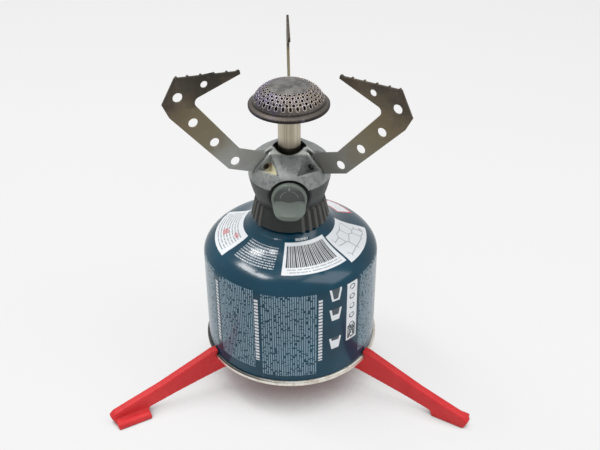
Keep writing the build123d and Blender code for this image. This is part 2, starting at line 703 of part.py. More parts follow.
# front outline and side outline of the thumb paddle, crossed; its top is dished for the thumb
sunk_depth = 1.3
paddle_out = knob_face_y - paddle_l
paddle_w = knob_r - 0.6     # half widths under the knob's middle and at the lip
paddle_low_w = knob_r - 2.1
paddle_low = knob_r - 1.6
paddle_reach = knob_r + 1.2
paddle_foot = (knob_face_y + sunk_depth, knob_z - 1.0)
paddle_lip = (paddle_out + 0.1, knob_z - paddle_low + 0.6)
dish_r = 20.0
dish_depth = 0.9
dish_centre = between(paddle_foot, paddle_lip, 0.5, dish_depth - dish_r)
with BuildPart() as paddle:
    with BuildSketch(Plane.XZ.offset(-knob_back_y - 1)):
        with BuildLine():
            Polyline((paddle_w, knob_z - 3.0), (paddle_w, knob_z), (-paddle_w, knob_z),
                     (-paddle_w, knob_z - 3.0))
            Spline((-paddle_w, knob_z - 3.0), (-paddle_low_w, knob_z - paddle_low + 1.2),
                   (3.2 - paddle_low_w, knob_z - paddle_low - 1.9), (0, knob_z - paddle_reach),
                   (paddle_low_w - 3.2, knob_z - paddle_low - 1.9),
                   (paddle_low_w, knob_z - paddle_low + 1.2), (paddle_w, knob_z - 3.0),
                   tangents=[(0.1, -1), (0.1, 1)])
        make_face()
    extrude(amount=knob_t + 2 * paddle_l)
    with BuildSketch(Plane.YZ):
        with BuildLine():
            Polyline((knob_face_y + 2.0, paddle_foot[1]), paddle_foot, paddle_lip,
                     (paddle_out, paddle_lip[1] - 0.5), (paddle_out + 0.3, knob_z - paddle_reach - 0.2),
                     (knob_face_y + 1.0, knob_z - paddle_low),
                     (knob_face_y + 2.0, knob_z - paddle_low + 1.6),
                     close=True)
        make_face()
    extrude(amount=1.5 * knob_r, both=True, mode=Mode.INTERSECT)
    with Locations((0, *dish_centre)):
        Sphere(dish_r, mode=Mode.SUBTRACT)

sunk_r = knob_r - 1.3
sunk_low = 5.0              # the sunk face ends behind the paddle
disc_t = 2.6
knob_boss_r = 6.4
with BuildPart() as knob:
    with BuildSketch(Plane.XZ.offset(-knob_face_y - disc_t)):
        with Locations((0, knob_z)):
            Circle(knob_r)
    extrude(amount=disc_t)
    fillet(knob.faces().sort_by(Axis.Y)[0].edges(), 0.7)
    with BuildSketch(Plane.XZ.offset(-knob_back_y)):
        with Locations((0, knob_z)):
            Circle(knob_boss_r)
    extrude(amount=knob_t - disc_t)
    with BuildSketch(Plane.XZ.offset(-knob_face_y)):
        with Locations((0, knob_z)):
            Circle(sunk_r)
        with Locations((0, knob_z - sunk_low - knob_r)):
            Rectangle(2 * knob_r, 2 * knob_r, mode=Mode.SUBTRACT)
    extrude(amount=-sunk_depth, mode=Mode.SUBTRACT)
    add(paddle.part)
    # D socket
    with BuildSketch(Plane.XZ.offset(-knob_back_y)):
        with Locations((0, knob_z)):
            Circle(spindle_r + slip)
        with Locations((0, knob_z + spindle_r)):
            Rectangle(2 * spindle_r + 1, flat_h - 2 * slip, mode=Mode.SUBTRACT)
    extrude(amount=knob_back_y - spindle_end_y + 0.3, mode=Mode.SUBTRACT)
save(knob.part, "knob")

# ================= pan-support arms =================
pan_z = burner_top_z + pan_gap      # plane of the tooth tips that carry the pan
tooth_h = 0.8
tooth_w = 1.6
tooth_count = 4
knee = (arm_reach, pan_z - 15.5)
knee_low = (arm_reach - 4.0, pan_z - 23.3)
corner = (arm_reach - 7.0, pan_z - tooth_h)
crotch = (arm_reach - 16.3, pan_z - 15.0)
crotch_fillet = 3.2
tip = (burner_rim_r + 10.2, pan_z - tooth_h)
tooth_pitch = (corner[0] - tip[0]) / (tooth_count + 1)
tooth_r = [tip[0] + tooth_pitch * (n + 1) for n in range(tooth_count)]
arm_w_above = 7.4           # root limb above the pin's line
low_bend = arm_point(21.05, -root_r)
high_bend = (pivot_r + 15.2, pan_z - 48.0)
hole_r = 2.8
limb_foot = between(low_bend, high_bend, 0.5)
limb_head = between(knee_low, crotch, 0.5)
arm_holes = [(*between(limb_foot, limb_head, share, -0.6), hole_r) for share in (-0.035, 0.36, 0.755)]
arm_holes.append((corner[0] - 1.8, pan_z - 12.1, hole_r))
arm_holes.append((crotch[0] - 7.2, pan_z - 6.2, 2.05))


def build_arm(side):
    azimuth = arm_azimuth[side]
    slot = radial_plane(azimuth)
    outline = [arm_point(0, -root_r), low_bend, knee_low, knee, corner, tip, (tip[0] - 0.4, tip[1] - 1.6),
               crotch, high_bend, arm_point(3.6, arm_w_above), arm_point(-3.0, 4.6), arm_point(-root_r, 0)]
    with BuildPart() as blank:
        with BuildSketch(Plane.XY):
            with BuildLine():
                Polyline(*outline, close=True)
            make_face()
        extrude(amount=arm_t / 2, both=True)
        inside = blank.edges().filter_by(Axis.Z).sort_by_distance((*crotch, 0))[0]
        fillet(inside, crotch_fillet)
        with BuildSketch(Plane.XY):
            with Locations((pivot_r, pivot_z)):
                Circle(root_r)
            for r in tooth_r + [corner[0] - 1.1]:
                with BuildLine():
                    Polyline((r - tooth_w / 2, corner[1] - 0.1), (r + tooth_w / 2, corner[1] - 0.1),
                             (r + tooth_w / 2, corner[1]), (r + 0.35, pan_z), (r - 0.35, pan_z),
                             (r - tooth_w / 2, corner[1]), close=True)
                make_face()
            with BuildLine():
                Polyline((tip[0], tip[1] - 0.6), (tip[0] + 2.4, tip[1] - 0.1), (tip[0] + 0.9, pan_z),
                         (tip[0] + 0.1, pan_z - 0.3), (tip[0] - 0.4, tip[1] - 1.2), close=True)
            make_face()
        extrude(amount=arm_t / 2, both=True)
        with BuildSketch(Plane.XY):
            for r, z, h in arm_holes:
                with Locations((r, z)):
                    Circle(h)
        extrude(amount=arm_t, both=True, mode=Mode.SUBTRACT)
    plate = slot.location * blank.part
    hinge = around(azimuth, pivot_r, pivot_z)
    plate = plate.rotate(Axis(hinge, slot.z_dir), arm_lift[side])
    plate = plate.rotate(Axis(hinge, (0, 0, 1)), arm_twist[side])
    with BuildPart() as arm:
        add(plate)
        with BuildSketch(slot):
            with Locations((pivot_r, pivot_z)):
                Circle(pin_r + run)
        extrude(amount=slot_w, both=True, mode=Mode.SUBTRACT)
    return arm.part


for side in arm_azimuth:
    save(build_arm(side), f"arm_{side}")

# ================= folding stabiliser =================
level_t = 2.2
level_step = level_t + 0.2
level_top = cartridge_z - 0.6
hub_disc_r = 9.0
rivet_r = 3.0
bar_w = 8.0
level_of = {"rear": 0, "left": 1, "right": 2}
notch_r = seam_r + gap
jaw_r = cartridge_r + gap
notch_top = seam_top + 0.2
foot_inner = leg_reach - foot_l
toe = leg_reach - 2.6
pad_w = 6.0
pad_h = 4.2
lip_t = 1.6
lip_w = 7.4
leg_root_r = seam_r - 11.4
bar_l = leg_root_r + 4.0
leg_edge_r = 1.0


def build_leg(azimuth, level):
    bar_top = level_top - level_step * level
    bar_low = bar_top - level_t
    with BuildPart() as leg:
        with BuildSketch(Plane.XZ) as side:
            with BuildLine():
                heel = (seam_r - 3.4, cartridge_z - 10.3)
                sole = (foot_inner - 1, pad_h - 0.2)
                back = (seam_r + 7.6, seam_top + 1.1)
                Polyline((leg_root_r, cartridge_z - 9.7), heel, between(heel, sole, 0.29, 0.35),
                         between(heel, sole, 0.64, 0.5), sole, (foot_inner, 0), (toe, 0), (leg_reach, 6.0),
                         (toe, 8.6), between((toe, 8.6), back, 0.49, 1.0), back,
                         (seam_r + 3.6, seam_top + 2.7),
                         (seam_r - 2.4, seam_top + 3.3), (seam_r - 5.4, cartridge_z),
                         (seam_r - 5.4, cartridge_z - 0.5), (leg_root_r, level_top), close=True)
            make_face()
        extrude(amount=leg_t / 2, both=True)
        tops = leg.faces().filter_by(lambda f: f.normal_at().Z > 0.3 and f.center().X > seam_r + 1)
        fillet(tops.edges().filter_by(lambda e: abs(abs(e.center().Y) - leg_t / 2) < 0.01), leg_edge_r)
        # foot pad on one side
        with BuildSketch(Plane.XY):
            with Locations(((foot_inner + toe) / 2, leg_t / 2 + pad_w / 2 - 0.2)):
                Rectangle(toe - foot_inner, pad_w + 0.4)
        extrude(amount=pad_h)
        fillet(leg.edges().filter_by(Axis.X).group_by(Axis.Y)[-1].sort_by(Axis.Z)[-1], pad_h / 2)
        # lip under the can's seam on the same side
        with BuildSketch(Plane.XY.offset(cartridge_z - lip_t)):
            with Locations((seam_r - 5.0, leg_t / 2 + lip_w / 2 - 0.3)):
                Rectangle(8.6, lip_w + 0.6)
        extrude(amount=lip_t)
        # bar to the common pivot
        with BuildSketch(Plane.XY.offset(bar_low)):
            with Locations((bar_l / 2, 0)):
                Rectangle(bar_l, bar_w)
            Circle(hub_disc_r)
        extrude(amount=level_t)
        with BuildSketch(Plane.XY.offset(bar_low)):
            Circle(rivet_r + run)
        extrude(amount=level_t, mode=Mode.SUBTRACT)
        # room for the can: seam, wall and the base's inner edge
        with BuildSketch(Plane.XZ):
            with BuildLine():
                Polyline((0, cartridge_z), (notch_r, cartridge_z), (notch_r, notch_top),
                         (jaw_r, notch_top),
                         (jaw_r, wall_top), (0, wall_top), close=True)
            make_face()
        revolve(axis=Axis.Z, mode=Mode.SUBTRACT)
        with BuildSketch(Plane.XZ):
            with BuildLine():
                Polyline((0, cartridge_z - 0.55), (seam_r - 6.8, cartridge_z - 0.55),
                         (seam_r - 6.8, cartridge_z + 1),
                         (0, cartridge_z + 1), close=True)
            make_face()
        revolve(axis=Axis.Z, mode=Mode.SUBTRACT)
        # lip's outer edge follows the seam
        with BuildSketch(Plane.XY.offset(cartridge_z - lip_t)):
            with Locations((seam_r - 5.0, leg_t / 2 + lip_w / 2 + 0.1)):
                Rectangle(20, lip_w + 1.2)
            Circle(seam_r - 0.2, mode=Mode.SUBTRACT)
        extrude(amount=lip_t, mode=Mode.SUBTRACT)
    return leg.part.rotate(Axis.Z, azimuth)


for name, az in leg_azimuth.items():
    save(build_leg(az, level_of[name]), f"leg_{name}")

rivet_low = level_top - 2 * level_step - level_t
washer_t = 1.0
rivet_head_r = rivet_r + 2.0
with BuildPart() as pivot_rivet:
    with BuildSketch(Plane.XZ):
        with BuildLine():
            Polyline((0, rivet_low - 1.6), (rivet_head_r - 1.8, rivet_low - 1.6),
                     (rivet_head_r - 0.4, rivet_low - 0.9), (rivet_head_r - 0.2, rivet_low - 0.4),
                     (rivet_head_r - 0.2, rivet_low), (rivet_r, rivet_low),
                     (rivet_r, level_top + washer_t),
                     (rivet_head_r, level_top + washer_t), (rivet_head_r, level_top + washer_t + 0.8),
                     (rivet_head_r - 1.6, level_top + washer_t + 1.6), (0, level_top + washer_t + 1.6),
                     close=True)
        make_face()
    revolve(axis=Axis.Z)
save(pivot_rivet.part, "pivot_rivet")

with BuildPart() as pivot_washer:
    with BuildSketch(Plane.XY.offset(level_top)):
        Circle(rivet_head_r + 2.0)
        Circle(rivet_r + run, mode=Mode.SUBTRACT)
    extrude(amount=washer_t)
save(pivot_washer.part, "pivot_washer")
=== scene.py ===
import json
from contextlib import contextmanager
from functools import partialmethod
from math import asin, cos, hypot, pi, radians, sin, sqrt

import bmesh
import bpy
import numpy as np
from bpy.props import FloatProperty, FloatVectorProperty, IntProperty, PointerProperty
from mathutils import Matrix, Vector
from mathutils.bvhtree import BVHTree


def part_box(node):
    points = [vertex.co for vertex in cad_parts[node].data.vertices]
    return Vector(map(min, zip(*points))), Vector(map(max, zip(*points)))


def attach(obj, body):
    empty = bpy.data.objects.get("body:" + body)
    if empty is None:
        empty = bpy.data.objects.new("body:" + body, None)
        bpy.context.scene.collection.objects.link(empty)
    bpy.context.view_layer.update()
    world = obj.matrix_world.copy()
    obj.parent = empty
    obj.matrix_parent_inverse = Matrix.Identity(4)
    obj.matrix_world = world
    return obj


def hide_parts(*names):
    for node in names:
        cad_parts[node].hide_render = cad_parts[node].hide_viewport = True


bl_info = {
    "name": "Camping Stove",
    "version": (1, 0, 0),
    "blender": (4, 5, 0),
    "location": "View3D > Sidebar > Stove",
    "description": "Finishes a cartridge stove with folding arms and a folding stabiliser",
    "category": "Object",
}

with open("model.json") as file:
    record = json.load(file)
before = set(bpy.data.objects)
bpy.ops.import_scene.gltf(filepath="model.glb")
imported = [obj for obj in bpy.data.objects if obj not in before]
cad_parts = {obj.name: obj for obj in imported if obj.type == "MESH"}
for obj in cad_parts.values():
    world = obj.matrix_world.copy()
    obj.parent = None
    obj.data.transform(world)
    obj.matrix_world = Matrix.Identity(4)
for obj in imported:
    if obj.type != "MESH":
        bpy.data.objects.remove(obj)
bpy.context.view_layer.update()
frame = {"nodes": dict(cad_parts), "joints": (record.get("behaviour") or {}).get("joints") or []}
MM = 0.001


def tone(red, green, blue):
    """Linear colour of three display values from 0 to 255."""
    linear = [(c / 255 / 12.92) if c < 11 else ((c / 255 + 0.055) / 1.055) ** 2.4
              for c in (red, green, blue)]
    return (*linear, 1.0)


# ------------------------------------------------------------------ places read from the frame

def lowest(node):
    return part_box(node)[0]


def highest(node):
    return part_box(node)[1]


def reach(node):
    """Largest distance of a node's vertices from the vertical axis."""
    return max(hypot(v.co.x, v.co.y) for v in frame["nodes"][node].data.vertices)


def joint_place(name):
    return Vector(next(j for j in frame["joints"] if j["name"] == name)["pos_m"])


CAN_R = reach("cartridge_shell")
CAN_LOW = lowest("cartridge_shell").z
CAN_TOP = highest("cartridge_shell").z
WALL_TOP = CAN_TOP - 24.8 * MM      # where the shoulder's curve starts
SEAM_R = reach("cartridge_base")
SEAM_LOW = lowest("cartridge_base").z
DOME_R = reach("burner_cap")
DOME_LOW = lowest("burner_cap").z
DOME_TOP = highest("burner_cap").z
DOME_LIP = 2.8                      # width of the cap's rolled lip, in millimetres
HUB_LOW = highest("bowl_housing").z
HUB_TOP = highest("burner_hub").z
COLLAR_TOP = highest("lock_collar").z
KNOB_PIVOT = joint_place("knob_turn")
KNOB_FACE = KNOB_PIVOT.y
SIDES = ("left", "right", "rear")
ARM_PIVOTS = {side: joint_place(f"arm_{side}_fold") for side in SIDES}
# rows of holes in the cap: distance inward from the dome's foot and radius, in millimetres
PORT_ROWS = ((8.05, 0.6), (6.05, 0.68), (4.25, 0.72), (2.7, 0.74), (1.4, 0.68))
LAST_ROW = len(PORT_ROWS) - 1
SLOT_STRETCH = 0.55 * MM            # half the straight part of the last row's slots
RIB_TURN = -15.5                    # degrees by which the collar's ribs stand off the knob's line
RIB_PITCH = 12                      # degrees from one rib to the next
DEGREES = 180 / pi
FLOOR_SEEN = tone(241, 241, 241)    # floor and surroundings as the camera sees them


# ------------------------------------------------------------------ what a user can change

def colour(name, text, *display):
    return FloatVectorProperty(name=name, description=text, subtype="COLOR", size=4, min=0, max=1,
                               default=tone(*display))


def length(name, text, millimetres):
    return FloatProperty(name=name, description=text, unit="LENGTH", default=millimetres * MM)


def amount(name, text, value):
    return FloatProperty(name=name, description=text, default=value)


class CartridgeSettings(bpy.types.PropertyGroup):
    paint: colour("Paint", "Colour of the cartridge", 0, 50, 68)
    ink: colour("Ink", "Colour of the fine printed lines", 146, 172, 186)
    panel: colour("Panels", "Colour of the white printed panels", 226, 230, 234)
    line_pitch: length("Line pitch", "Distance of the fine lines round the wall", 1.35)
    tin: colour("Tinplate", "Colour of the bare rolled seam", 234, 230, 220)


class StoveSettings(bpy.types.PropertyGroup):
    cast: colour("Die-cast metal", "Colour of the hub", 220, 224, 219)
    moulded: colour("Moulded plastic", "Colour of collar and bowl", 30, 32, 31)
    knob: colour("Knob", "Colour of the gas knob", 99, 107, 101)
    edge: length("Edge radius", "Rounding of cast and moulded edges", 0.36)


class BurnerSettings(bpy.types.PropertyGroup):
    steel: colour("Scorched steel", "Colour of the burner cap", 60, 56, 54)
    tube: colour("Tube steel", "Colour of the mixing tube", 212, 203, 184)
    port_count: IntProperty(name="Ports in a row", description="Ports round the burner cap",
                            default=30, min=6)
    # the rims' finish is painted lighter, as a highlight
    rim_width: length("Port rim", "Width of the burnished rim round a port", 0.08)


class ArmSettings(bpy.types.PropertyGroup):
    plate: colour("Plate", "Colour of the arms near the hub", 146, 148, 145)
    scorch: colour("Scorched", "Colour of the fingers over the flame", 44, 41, 36)
    edge: length("Edge radius", "Rounding of the stamped edges", 0.18)


class StabiliserSettings(bpy.types.PropertyGroup):
    plastic: colour("Plastic", "Colour of the legs", 196, 40, 44)
    grain: length("Face size", "Size of the legs' faces", 0.5)
    rounds: IntProperty(name="Smoothing", description="Rounds of smoothing of the legs' edges",
                        default=14, min=1)


class StageSettings(bpy.types.PropertyGroup):
    floor: colour("Floor", "Colour of the floor", 236, 236, 236)
    key: amount("Key light", "Power of the lamp above on the right", 7.6)
    side: amount("Side light", "Power of the narrow lamp above on the left", 10.5)
    top: amount("Top light", "Power of the lamp overhead", 2.6)
    fill: amount("Fill light", "Power of the wide lamp in front", 6.2)
    world: amount("Surroundings", "Strength of the even light all round", 0.27)
    lens: amount("Lens", "Focal length of the camera in millimetres", 55.2)


class StoveBuild(bpy.types.PropertyGroup):
    cartridge: PointerProperty(type=CartridgeSettings)
    stove: PointerProperty(type=StoveSettings)
    burner: PointerProperty(type=BurnerSettings)
    arms: PointerProperty(type=ArmSettings)
    stabiliser: PointerProperty(type=StabiliserSettings)
    stage: PointerProperty(type=StageSettings)


# ------------------------------------------------------------------ node trees

class Socket:
    """One output in a node tree. Arithmetic on it adds Math nodes."""

    def __init__(self, graph, out):
        self.graph = graph
        self.out = out

    def math(self, operation, *values, clamp=False):
        settings = {"operation": operation, "use_clamp": clamp}
        return self.graph.node("ShaderNodeMath", settings, [self, *values])

    def after(self, operation, first):
        """Maths in which this output comes second."""
        return self.graph.node("ShaderNodeMath", {"operation": operation}, [first, self])

    __add__ = __radd__ = partialmethod(math, "ADD")
    __sub__ = partialmethod(math, "SUBTRACT")
    __mul__ = __rmul__ = partialmethod(math, "MULTIPLY")
    __truediv__ = partialmethod(math, "DIVIDE")
    __pow__ = partialmethod(math, "POWER")
    __neg__ = partialmethod(math, "MULTIPLY", -1)
    __rsub__ = partialmethod(after, "SUBTRACT")
    __rtruediv__ = partialmethod(after, "DIVIDE")
    abs = partialmethod(math, "ABSOLUTE")
    fract = partialmethod(math, "FRACT")
    floor = partialmethod(math, "FLOOR")
    clip = partialmethod(math, "ADD", 0, clamp=True)

    def over(self, edge, soft):
        """0 below edge, 1 above edge + soft, smooth between."""
        return self.graph.node("ShaderNodeMapRange", {"interpolation_type": "SMOOTHSTEP"},
                               {"Value": self, "From Min": edge, "From Max": edge + soft})

    def under(self, edge, soft):
        """1 below edge, 0 above edge + soft."""
        return 1 - self.over(edge, soft)

    def within(self, low, high, soft):
        """1 from low to high, with soft borders outside."""
        return self.over(low - soft, soft) * self.under(high, soft)


class Graph:
    """A node tree while it is being made."""

    def __init__(self, tree):
        self.tree = tree
        tree.nodes.clear()

    def node(self, kind, settings=None, inputs=None, output=0):
        """A node of a kind: its settings are set first, then the values or links of its sockets."""
        made = self.tree.nodes.new(kind)
        for key, value in (settings or {}).items():
            setattr(made, key, value)
        pairs = inputs.items() if isinstance(inputs, dict) else enumerate(inputs or [])
        for key, value in pairs:
            self.feed(value, made.inputs[key])
        return Socket(self, made.outputs[output]) if made.outputs else None

    def sibling(self, socket, output):
        return Socket(self, socket.out.node.outputs[output])

    def feed(self, value, socket):
        if isinstance(value, Socket):
            self.tree.links.new(value.out, socket)
        elif value is not None:
            socket.default_value = value

    def parts(self, vector):
        """The x, y and z of a vector."""
        x = self.node("ShaderNodeSeparateXYZ", inputs=[vector], output="X")
        return x, self.sibling(x, "Y"), self.sibling(x, "Z")

    def vector(self, x, y, z):
        return self.node("ShaderNodeCombineXYZ", inputs=[x, y, z])

    def seen(self):
        """1 for what the camera sees, straight on, mirrored or through something clear."""
        camera = self.node("ShaderNodeLightPath", output="Is Camera Ray")
        mirrored = camera.math("MAXIMUM", self.sibling(camera, "Is Glossy Ray"))
        return mirrored.math("MAXIMUM", self.sibling(camera, "Is Transmission Ray"))


class Finish(Graph):
    """A material while it is being made. Colours are given as three display values, as a setting
    or as a socket; base is the colour so far."""

    def __init__(self, name):
        self.material = bpy.data.materials.new(name)
        self.material.use_nodes = True
        super().__init__(self.material.node_tree)
        self.shader = self.tree.nodes.new("ShaderNodeBsdfPrincipled")
        end = self.tree.nodes.new("ShaderNodeOutputMaterial")
        self.tree.links.new(self.shader.outputs["BSDF"], end.inputs["Surface"])
        self.place = self.node("ShaderNodeTexCoord", output="Object")
        self.x, self.y, self.z = self.parts(self.place)

    @staticmethod
    def colour(given):
        if isinstance(given, Socket):
            return given
        return tone(*given) if len(given) == 3 else tuple(given)

    def set(self, **sockets):
        """Feeds base and the given values to the shader's sockets, as in coat_weight=0.1."""
        self.feed(self.base, self.shader.inputs["Base Color"])
        for key, value in sockets.items():
            self.feed(value, self.shader.inputs[key.replace("_", " ").title().replace("Ior", "IOR")])
        return self.material

    def mix(self, share, a, b):
        """Colour between a and b."""
        return self.node("ShaderNodeMix", {"data_type": "RGBA", "clamp_factor": True},
                         {0: share, 6: self.colour(a), 7: self.colour(b)}, output=2)

    def start(self, share, a, b):
        self.base = self.mix(share, a, b)

    def layer(self, share, over):
        """Lays a colour over the base, as far as share says."""
        self.base = self.mix(share, self.base, over)

    def ramp(self, value, *stops):
        made = self.node("ShaderNodeValToRGB", inputs=[value])
        elements = made.out.node.color_ramp.elements
        while len(elements) < len(stops):
            elements.new(0.5)
        for element, (position, given) in zip(elements, stops):
            element.position = position
            element.color = self.colour(given)
        return made

    def noise(self, size, detail=3.0, roughness=0.55, distortion=0.0, at=None):
        """Noise with features of about this size in millimetres."""
        return self.node("ShaderNodeTexNoise", inputs={
            "Vector": at or self.place, "Scale": 1 / (size * MM), "Detail": detail,
            "Roughness": roughness, "Distortion": distortion})

    def noise_at(self, x, y, z, detail=3.0, roughness=0.55):
        """Noise over three given values instead of over the place."""
        return self.noise(1 / MM, detail, roughness, at=self.vector(x, y, z))

    def stretched(self, x, y, z):
        """Object coordinates scaled axis by axis, for grain that runs one way."""
        return self.vector(self.x * x, self.y * y, self.z * z)

    def distance(self, a, b):
        return self.vectors("DISTANCE", a, b, output="Value")

    def vectors(self, operation, *values, output=0):
        return self.node("ShaderNodeVectorMath", {"operation": operation}, values, output)

    def bump(self, height, depth, strength):
        """The normal of a relief whose height from 0 to 1 is this depth in millimetres."""
        return self.node("ShaderNodeBump",
                         inputs={"Height": height, "Distance": depth * MM, "Strength": strength})

    def radius(self):
        return (self.x * self.x + self.y * self.y).math("SQRT")

    def angle(self):
        """Angle round the vertical axis, 0 at the knob and growing towards +X, in radians."""
        return self.x.math("ARCTAN2", -self.y)


# ------------------------------------------------------------------ finishes

def begin(name, group):
    """A new finish and the settings of the group that it belongs to."""
    return Finish(name), getattr(bpy.context.scene.stove_build, group)


def painted_can():
    """Satin paint printed with rows of fine broken lines, plain panels and bars."""
    f, s = begin("painted_can", "cartridge")
    angle = f.angle()
    turn = angle * DEGREES
    around = angle * CAN_R
    radius = f.radius()
    wall = f.z.under(WALL_TOP + 4.5 * MM, 0.4 * MM)
    shoulder = 1 - wall

    def upright(left, right, low, high):
        """A field on the wall between two angles in degrees and two heights in millimetres."""
        return turn.within(left, right, 0.15) * f.z.within(low * MM, high * MM, 0.15 * MM)

    def level(left, right, inner, outer):
        """A field on the shoulder between two angles in degrees and two radii in millimetres."""
        ring = radius.within(inner * MM, outer * MM, 0.12 * MM)
        return turn.within(left, right, 0.3) * ring * shoulder

    # fine light lines up the wall, broken now and then
    column = around / s.line_pitch
    seed = column.floor() * 3.17
    line = column.fract().within(0.30, 0.70, 0.16)
    breaks = f.noise_at(seed, f.z * 520, seed * 0.7, detail=1).over(0.39, 0.03)
    shading = f.noise_at(seed, f.z * 1900, 4.0, detail=2, roughness=0.8)
    fields = (upright(-18.2, 17.4, 32, 93) + upright(-51.2, -23.6, 35.5, 94) + upright(-88, -58, 35, 94)
              + upright(50.8, 76, 35, 94) + upright(104, 141, 36, 91) + upright(-152, -112, 36, 91))
    ink = line * breaks * (0.50 + shading * 0.62) * fields

    # bolder light dashes between the fields
    bars = turn.within(-22.9, -20.3, 0.1) + turn.within(18.3, 20.9, 0.1) + turn.within(-56.0, -53.4, 0.1)
    bars = bars + turn.within(97.5, 100, 0.1) + turn.within(-104.5, -102, 0.1)
    dashes = (f.z / (2.4 * MM)).fract().within(0.18, 0.80, 0.06)
    bold = bars * dashes * f.z.within(42 * MM, 89 * MM, 0.2 * MM)

    # three open tubs, filled to three levels
    tubs, fills = 0, 0
    for low, filled in ((85.0, 0.15), (70.5, 0.45), (48.5, 0.72)):
        up = (f.z - low * MM) / (8.8 * MM)
        slope = ((turn - 30.2) / 4.7).abs() + (1 - up) * 0.40
        tubs = slope.under(0.95, 0.06) * up.within(0.0, 0.94, 0.02) + tubs
        fills = slope.under(0.64, 0.06) * up.within(filled, 0.96, 0.02) + fills
    # white label with a rounded outline, grey rings and a dark foot
    label = upright(39.0, 47.8, 50, 93)
    inner_label = upright(40.0, 46.8, 51.2, 91.8)
    rings = (f.z / (7.2 * MM)).fract()
    ring = (((rings - 0.5) * 3.2) ** 2 + ((turn - 43.4) / 2.7) ** 2).math("SQRT")
    ring = ring.within(0.58, 0.86, 0.06)
    marks = inner_label * (ring + upright(40, 46.8, 51, 61))
    marks = marks * f.noise(1.2, 1).over(0.36, 0.05)

    # shoulder: plain white panels with ruled lines, bars of five widths in turn, rows of short dashes
    white = level(-122, -61, 29, 46.6) + level(-6.2, 48.8, 25.4, 44.4) + level(51.2, 98.4, 27.4, 47.0)
    bordered = level(120, 148, 33.6, 45)
    white_field = level(121.6, 146.4, 34.8, 43.8)
    rule = radius / (1.75 * MM)
    ruled = rule.fract().within(0.34, 0.62, 0.08)
    ruled = ruled * f.noise_at(rule.floor() * 5, turn * 0.42, 3.0, detail=1).over(0.42, 0.03)
    ruled = ruled * (level(-118, -66, 31, 45.4) + level(-2, 46, 40.6, 43.2) * 0.8)
    bar = (turn + 3.6) / 8.6
    spots = 0
    for left, right in ((0.02, 0.20), (0.29, 0.36), (0.47, 0.60), (0.70, 0.80), (0.88, 0.94)):
        spots = bar.fract().within(left, right, 0.025) + spots
    graded = spots * level(-3.4, 44.8, 27.2, 39.6)
    net = f.vector(turn * 0.085, radius / (6.5 * MM), 4.0)
    net = f.node("ShaderNodeTexVoronoi", {"feature": "DISTANCE_TO_EDGE"},
                 {"Vector": net, "Scale": 1.0, "Randomness": 0.55})
    net = net.under(0.03, 0.02) * level(56, 94, 30, 44.6)
    row = radius / (1.62 * MM)
    rows = row.fract().within(0.28, 0.66, 0.1)
    rows = rows * f.noise_at(row.floor() * 4, turn * 0.9, 2.0, detail=3, roughness=0.8).over(0.46, 0.06)
    rows = rows * level(-53, -13.4, 28.4, 41.8)
    ticks = f.noise_at(turn * 0.8, 3.0, 5.0, detail=1).over(0.45, 0.06)
    ticks = ticks * level(8, 26, 23.4, 24.6)
    red = level(-92, -84, 38, 41.5) + level(-78, -70, 33, 35)

    depth = f.noise(30, 2)
    f.start(depth.over(0.3, 0.4), s.paint, (0, 60, 80))
    f.layer(ink * 0.85, s.ink)
    f.layer((bold * 0.9 + tubs + label + rows * 0.9 + ticks * 0.8).clip() * 0.93, s.panel)
    f.layer((fills + marks).clip() * 0.92, (22, 44, 56))
    f.layer(white + bordered, s.panel)
    f.layer(bordered - white_field, (208, 66, 78))
    f.layer((ruled * 0.62 + graded * 0.95).clip(), (30, 30, 36))
    f.layer(net * 0.55, (92, 90, 100))
    f.layer(red * 0.6, (196, 70, 78))
    # scuffs and dust
    dust = f.noise(9, 5, roughness=0.7).over(0.55, 0.25)
    f.layer(dust * 0.04, (176, 186, 192))
    scuff = f.noise(2.5, 5, roughness=0.75, at=f.stretched(1, 1, 0.35)).over(0.66, 0.05)
    scuff = scuff * f.noise(20, 1).over(0.5, 0.1)
    f.layer(scuff * 0.22, (120, 138, 148))
    rough = 0.20 + dust * 0.14 + scuff * 0.2 + (white + ink * 0.5).clip() * 0.08
    ripple = f.noise(18, 1)
    relief = ripple + (white + ink * 0.4).clip() * 0.1
    return f.set(roughness=rough, coat_weight=0.16, coat_roughness=0.1,
                 normal=f.bump(relief, 0.07, 0.5), specular_ior_level=0.22)


def tinplate():
    """Bare rolled tinplate with dull patches, fine turning lines and painted shade along the top of the
    seam.
    """
    f, s = begin("tinplate", "cartridge")
    lines = f.noise(0.3, 2, at=f.stretched(0.04, 0.04, 1))
    dull = f.noise(5, 5, roughness=0.7)
    specks = f.noise(0.9, 3).over(0.62, 0.05)
    f.start(dull.over(0.44, 0.2), s.tin, (204, 194, 180))
    f.layer(specks * 0.35, (104, 88, 74))
    f.layer(lines.over(0.45, 0.3) * 0.2, (232, 229, 220))
    # painted shade: a dark band along the top of the rolled seam, stronger on the left
    seam_top_shade = f.z.over(SEAM_LOW + 2.1 * MM, 0.5 * MM) * (1 - f.x.over(-30 * MM, 36 * MM) * 0.75)
    f.layer(seam_top_shade * 0.95, (28, 30, 29))
    return f.set(metallic=0.55, roughness=0.32 + dull * 0.2 + specks * 0.2,
                 normal=f.bump(lines + dull * 0.6, 0.04, 0.5))


